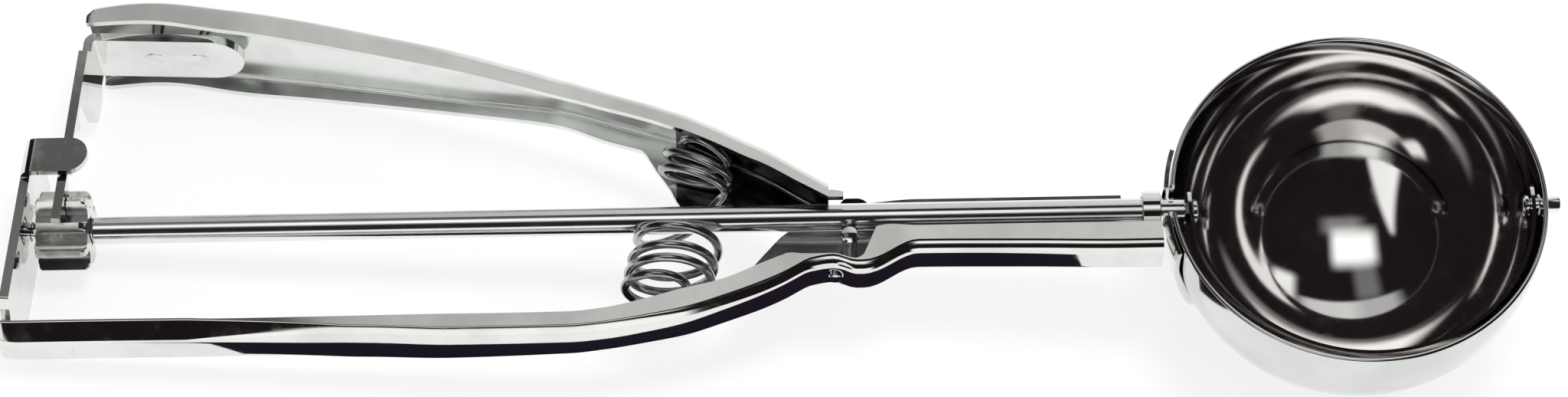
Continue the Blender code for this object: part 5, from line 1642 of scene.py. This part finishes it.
@dataclass(frozen=True)
class Glow:
    """A bright part of the room, by its place across and its turn over the tool.

    The turn is in degrees from the horizon on the near side, over the top.
    """

    left: float
    right: float
    low: float
    high: float
    level: float
    edge: float
    fade: float
    left_lean: float = 0.0       # how far the left side moves across for each degree
    right_lean: float = 0.0

    def add(self, graph: Graph, across: bpy.types.NodeSocket,
            turn: bpy.types.NodeSocket) -> bpy.types.NodeSocket:
        """Return the light that the room sends from each direction.

        Args:
            graph: The world's nodes.
            across: The direction's part along the tool.
            turn: The direction's turn in degrees.

        Returns:
            The socket of the light's strength.
        """
        risen = graph.math("SUBTRACT", turn, self.low)
        level = self.level
        sides = ((self.left, self.left_lean, self.edge), (self.right, self.right_lean, -self.edge))
        for place, lean, edge in sides:
            moved = graph.math("SUBTRACT", across, graph.math("MULTIPLY", risen, lean))
            level = graph.math("MULTIPLY", self.ease(graph, moved, place, edge), level)
        for place, fade in ((self.low, self.fade), (self.high, -self.fade)):
            level = graph.math("MULTIPLY", self.ease(graph, turn, place, fade), level)
        return level

    @staticmethod
    def ease(graph: Graph, value: bpy.types.NodeSocket, place: float,
             soft: float) -> bpy.types.NodeSocket:
        """Return a smooth step from zero to one about a place.

        Args:
            graph: The world's nodes.
            value: The value to compare.
            place: Where the step is.
            soft: Half the width of the step.

        Returns:
            The socket of the step.
        """
        node = graph.add("ShaderNodeMapRange", Value=value, From_Min=place - soft,
                         From_Max=place + soft)
        node.interpolation_type = "SMOOTHSTEP"
        return node.outputs["Result"]


@dataclass
class Studio:
    """Floor, a card that paints shade into reflections, surroundings, lamp and camera."""

    elevation: float = math.radians(60.0)
    roll: float = math.radians(1.02)
    distance: float = 0.500
    target: Point = (-0.0754, 0.0, 0.0)
    image_width: float = 2048.0
    image_height: float = 518.0
    target_px: tuple[float, float] = (1020.9, 284.9)
    scale: float = 9950.0        # pixels to a metre at the target
    sensor: float = 36.0
    floor_half: float = 1.5
    lamp_height: float = 0.70
    lamp_radius: float = 0.10
    lamp_watts: float = 2.0
    lamp_along: float = 0.06
    floor_shade: Point = (0.93, 0.93, 0.92)
    plain_light: float = 0.92    # strength of the world's light on matt surfaces
    # Colour of the card whose reflection is painted shade under the shank and grip.
    card_shade: Point = (0.012, 0.009, 0.016)
    floor_glow: float = 0.74     # share of the floor that is white whatever the light
    card_lift: float = 0.0004
    card: tuple[tuple[float, float], ...] = (
        (-0.1640, -0.0300), (-0.1400, -0.0325), (-0.1000, -0.0375), (-0.0700, -0.0350),
        (-0.0460, -0.0370), (-0.0340, -0.0200), (-0.0315, -0.0080), (-0.0700, -0.0080),
        (-0.1290, -0.0130))
    room_shade: Point = (0.010, 0.007, 0.0075)
    glows: tuple[Glow, ...] = (
        Glow(-0.36, 0.40, -60.0, 25.0, 1.10, 0.08, 3.0),
        Glow(-0.33, 0.13, 75.0, 97.0, 1.15, 0.07, 6.0),
        Glow(-0.20, 0.22, 66.0, 76.0, 0.22, 0.10, 3.0),
        Glow(-0.30, -0.08, 97.0, 122.0, 0.16, 0.06, 5.0),
        Glow(-0.58, -0.25, 26.0, 80.0, 0.95, 0.04, 3.0, 0.0010, -0.0048),
        Glow(-0.44, 0.46, 123.0, 240.0, 0.44, 0.08, 1.5),
        Glow(-0.06, 0.46, 123.0, 240.0, 0.22, 0.12, 1.5),
        Glow(0.10, 0.60, 143.0, 240.0, 0.30, 0.08, 6.0),
        Glow(0.52, 0.70, 108.0, 128.0, 0.95, 0.05, 4.0))

    def build(self, tool: ToolFrame) -> None:
        """Set up the whole studio.

        Args:
            tool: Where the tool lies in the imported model.
        """
        self.make_floor()
        self.make_painted_shade_card(tool)
        self.make_world(tool)
        self.make_lamp()
        self.make_camera(tool)
        bpy.context.scene.view_settings.view_transform = "Standard"

    @staticmethod
    def sheet(name: str, corners: list[Vector]) -> tuple[bpy.types.Object, Graph]:
        """Lay a flat sheet with a material of its own.

        Args:
            name: The sheet's name.
            corners: Its corners in order.

        Returns:
            The sheet and its material's empty node tree.
        """
        shape = bmesh.new()
        shape.faces.new([shape.verts.new(corner) for corner in corners])
        shape.normal_update()
        mesh = bpy.data.meshes.new(name)
        shape.to_mesh(mesh)
        shape.free()
        sheet = bpy.data.objects.new(name, mesh)
        bpy.context.scene.collection.objects.link(sheet)
        material = bpy.data.materials.new(name)
        material.use_nodes = True
        mesh.materials.append(material)
        return sheet, Graph(material.node_tree)

    def make_floor(self) -> None:
        """Lay the plain pale floor."""
        half = self.floor_half
        corners = ((-half, -half), (half, -half), (half, half), (-half, half))
        _, graph = self.sheet("pale_floor", [Vector((x, y, 0.0)) for x, y in corners])
        lit = graph.add("ShaderNodeBsdfDiffuse", Color=(*self.floor_shade, 1.0))
        glow = graph.add("ShaderNodeEmission", Color=WHITE, Strength=1.0)
        path = graph.add("ShaderNodeLightPath")
        seen = graph.math("MAXIMUM", path.outputs["Is Camera Ray"], path.outputs["Is Glossy Ray"])
        seen = graph.math("MAXIMUM", seen, path.outputs["Is Transmission Ray"])
        share = graph.math("MULTIPLY", seen, self.floor_glow)
        mixed = graph.add("ShaderNodeMixShader", Fac=share, i1=lit.outputs[0],
                          i2=glow.outputs[0])
        graph.add("ShaderNodeOutputMaterial", Surface=mixed.outputs[0])

    def make_painted_shade_card(self, tool: ToolFrame) -> None:
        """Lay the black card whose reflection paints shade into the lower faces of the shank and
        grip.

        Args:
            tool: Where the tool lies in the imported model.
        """
        corners = []
        for x, y in self.card:
            corner = tool.place(Vector((x, y, 0.0)))
            corners.append(Vector((corner.x, corner.y, self.card_lift)))
        card, graph = self.sheet("painted_shade_card", corners)
        black = graph.add("ShaderNodeBsdfDiffuse", Color=(*self.card_shade, 1.0))
        graph.add("ShaderNodeOutputMaterial", Surface=black.outputs[0])
        # Only mirror rays see the card, so its dark reflection is painted shade in the metal.
        card.visible_camera = card.visible_diffuse = card.visible_shadow = False

    def make_world(self, tool: ToolFrame) -> None:
        """Surround the scoop with a dark room that has a few soft bright parts.

        Args:
            tool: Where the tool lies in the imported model.
        """
        world = bpy.data.worlds.new("studio_room")
        bpy.context.scene.world = world
        world.use_nodes = True
        graph = Graph(world.node_tree)
        ray = graph.add("ShaderNodeTexCoord").outputs["Generated"]
        along, across, up = (self.part(graph, ray, tool.direction(Vector(axis)))
                             for axis in ((1, 0, 0), (0, -1, 0), (0, 0, 1)))
        turn = graph.math("DEGREES", graph.math("ARCTAN2", up, across))
        behind = graph.math("MULTIPLY", graph.math("LESS_THAN", turn, -90.0), 360.0)
        turn = graph.math("ADD", turn, behind)
        level = 0.0
        for glow in self.glows:
            level = graph.math("ADD", glow.add(graph, along, turn), level)
        pale = graph.add("ShaderNodeVectorMath", i0=(1.0, 1.0, 0.985))
        pale.operation = "SCALE"
        graph.tree.links.new(level, pale.inputs["Scale"])
        room = graph.add("ShaderNodeVectorMath", i0=pale.outputs[0], i1=self.room_shade)
        path = graph.add("ShaderNodeLightPath")
        mirror = graph.add("ShaderNodeBackground", Color=room.outputs[0], Strength=1.0)
        plain = graph.add("ShaderNodeBackground", Color=WHITE, Strength=self.plain_light)
        white = graph.add("ShaderNodeBackground", Color=WHITE, Strength=1.0)
        lit = graph.add("ShaderNodeMixShader", Fac=path.outputs["Is Glossy Ray"],
                        i1=plain.outputs[0], i2=mirror.outputs[0])
        seen = graph.math("MAXIMUM", path.outputs["Is Camera Ray"],
                          path.outputs["Is Transmission Ray"])
        whole = graph.add("ShaderNodeMixShader", Fac=seen, i1=lit.outputs[0],
                          i2=white.outputs[0])
        graph.add("ShaderNodeOutputWorld", Surface=whole.outputs[0])

    @staticmethod
    def part(graph: Graph, ray: bpy.types.NodeSocket, axis: Vector) -> bpy.types.NodeSocket:
        """Return how far a direction runs along an axis.

        Args:
            graph: The world's nodes.
            ray: The direction.
            axis: The axis.

        Returns:
            The socket of the direction's part.
        """
        node = graph.add("ShaderNodeVectorMath", i0=ray, i1=tuple(axis))
        node.operation = "DOT_PRODUCT"
        return node.outputs["Value"]

    def make_lamp(self) -> None:
        """Hang one soft round lamp over the scoop."""
        data = bpy.data.lights.new("soft_lamp", "AREA")
        data.shape = "DISK"
        data.size = 2.0 * self.lamp_radius
        data.energy = self.lamp_watts
        lamp = bpy.data.objects.new("soft_lamp", data)
        lamp.location = (self.lamp_along, 0.0, self.lamp_height)
        lamp.visible_glossy = False
        bpy.context.scene.collection.objects.link(lamp)

    def make_camera(self, tool: ToolFrame) -> None:
        """Place the camera at the photograph's viewing angle.

        Args:
            tool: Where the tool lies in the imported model.
        """
        data = bpy.data.cameras.new("camera")
        data.sensor_width = self.sensor
        data.sensor_fit = "HORIZONTAL"
        data.lens = self.scale * self.distance / self.image_width * self.sensor
        data.shift_x = -(self.target_px[0] - self.image_width / 2.0) / self.image_width
        data.shift_y = (self.target_px[1] - self.image_height / 2.0) / self.image_width
        data.clip_start, data.clip_end = 0.01, 20.0
        cos, sin = math.cos(self.elevation), math.sin(self.elevation)
        back, rise = Vector((0.0, -cos, sin)), Vector((0.0, sin, cos))
        level = Vector((1.0, 0.0, 0.0))
        right = level * math.cos(self.roll) - rise * math.sin(self.roll)
        up = level * math.sin(self.roll) + rise * math.cos(self.roll)
        place = tool.place(Vector(self.target) + back * self.distance)
        turn = Matrix([tool.direction(v) for v in (right, up, back)]).transposed()
        camera = bpy.data.objects.new("camera", data)
        camera.matrix_world = Matrix.Translation(place) @ turn.to_4x4()
        bpy.context.scene.collection.objects.link(camera)
        bpy.context.scene.camera = camera


def main() -> None:
    """Build the sub-assemblies in order."""
    logging.basicConfig(level=logging.INFO, format="%(name)s: %(message)s")
    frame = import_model()
    tool = ToolFrame(frame["joints"], PIVOT)
    shop = Workshop(tool)
    fixed = Channel(FIXED_STATIONS, -1.0, SHEET, CORNER, FIXED_FORM)
    squeezed = Channel(SQUEEZE_STATIONS, 1.0, SHEET, CORNER, SQUEEZE_FORM)
    bowl = Bowl()
    bowl.build(shop)
    FixedHandle().build(shop, fixed, bowl)
    EndBracket().build(shop, fixed)
    SqueezedHandle().build(shop, squeezed)
    Drive().build(shop)
    BarrelSpring().build(shop, fixed, squeezed, keep=0.68)
    Studio().build(tool)


if __name__ == "__main__":
    main()
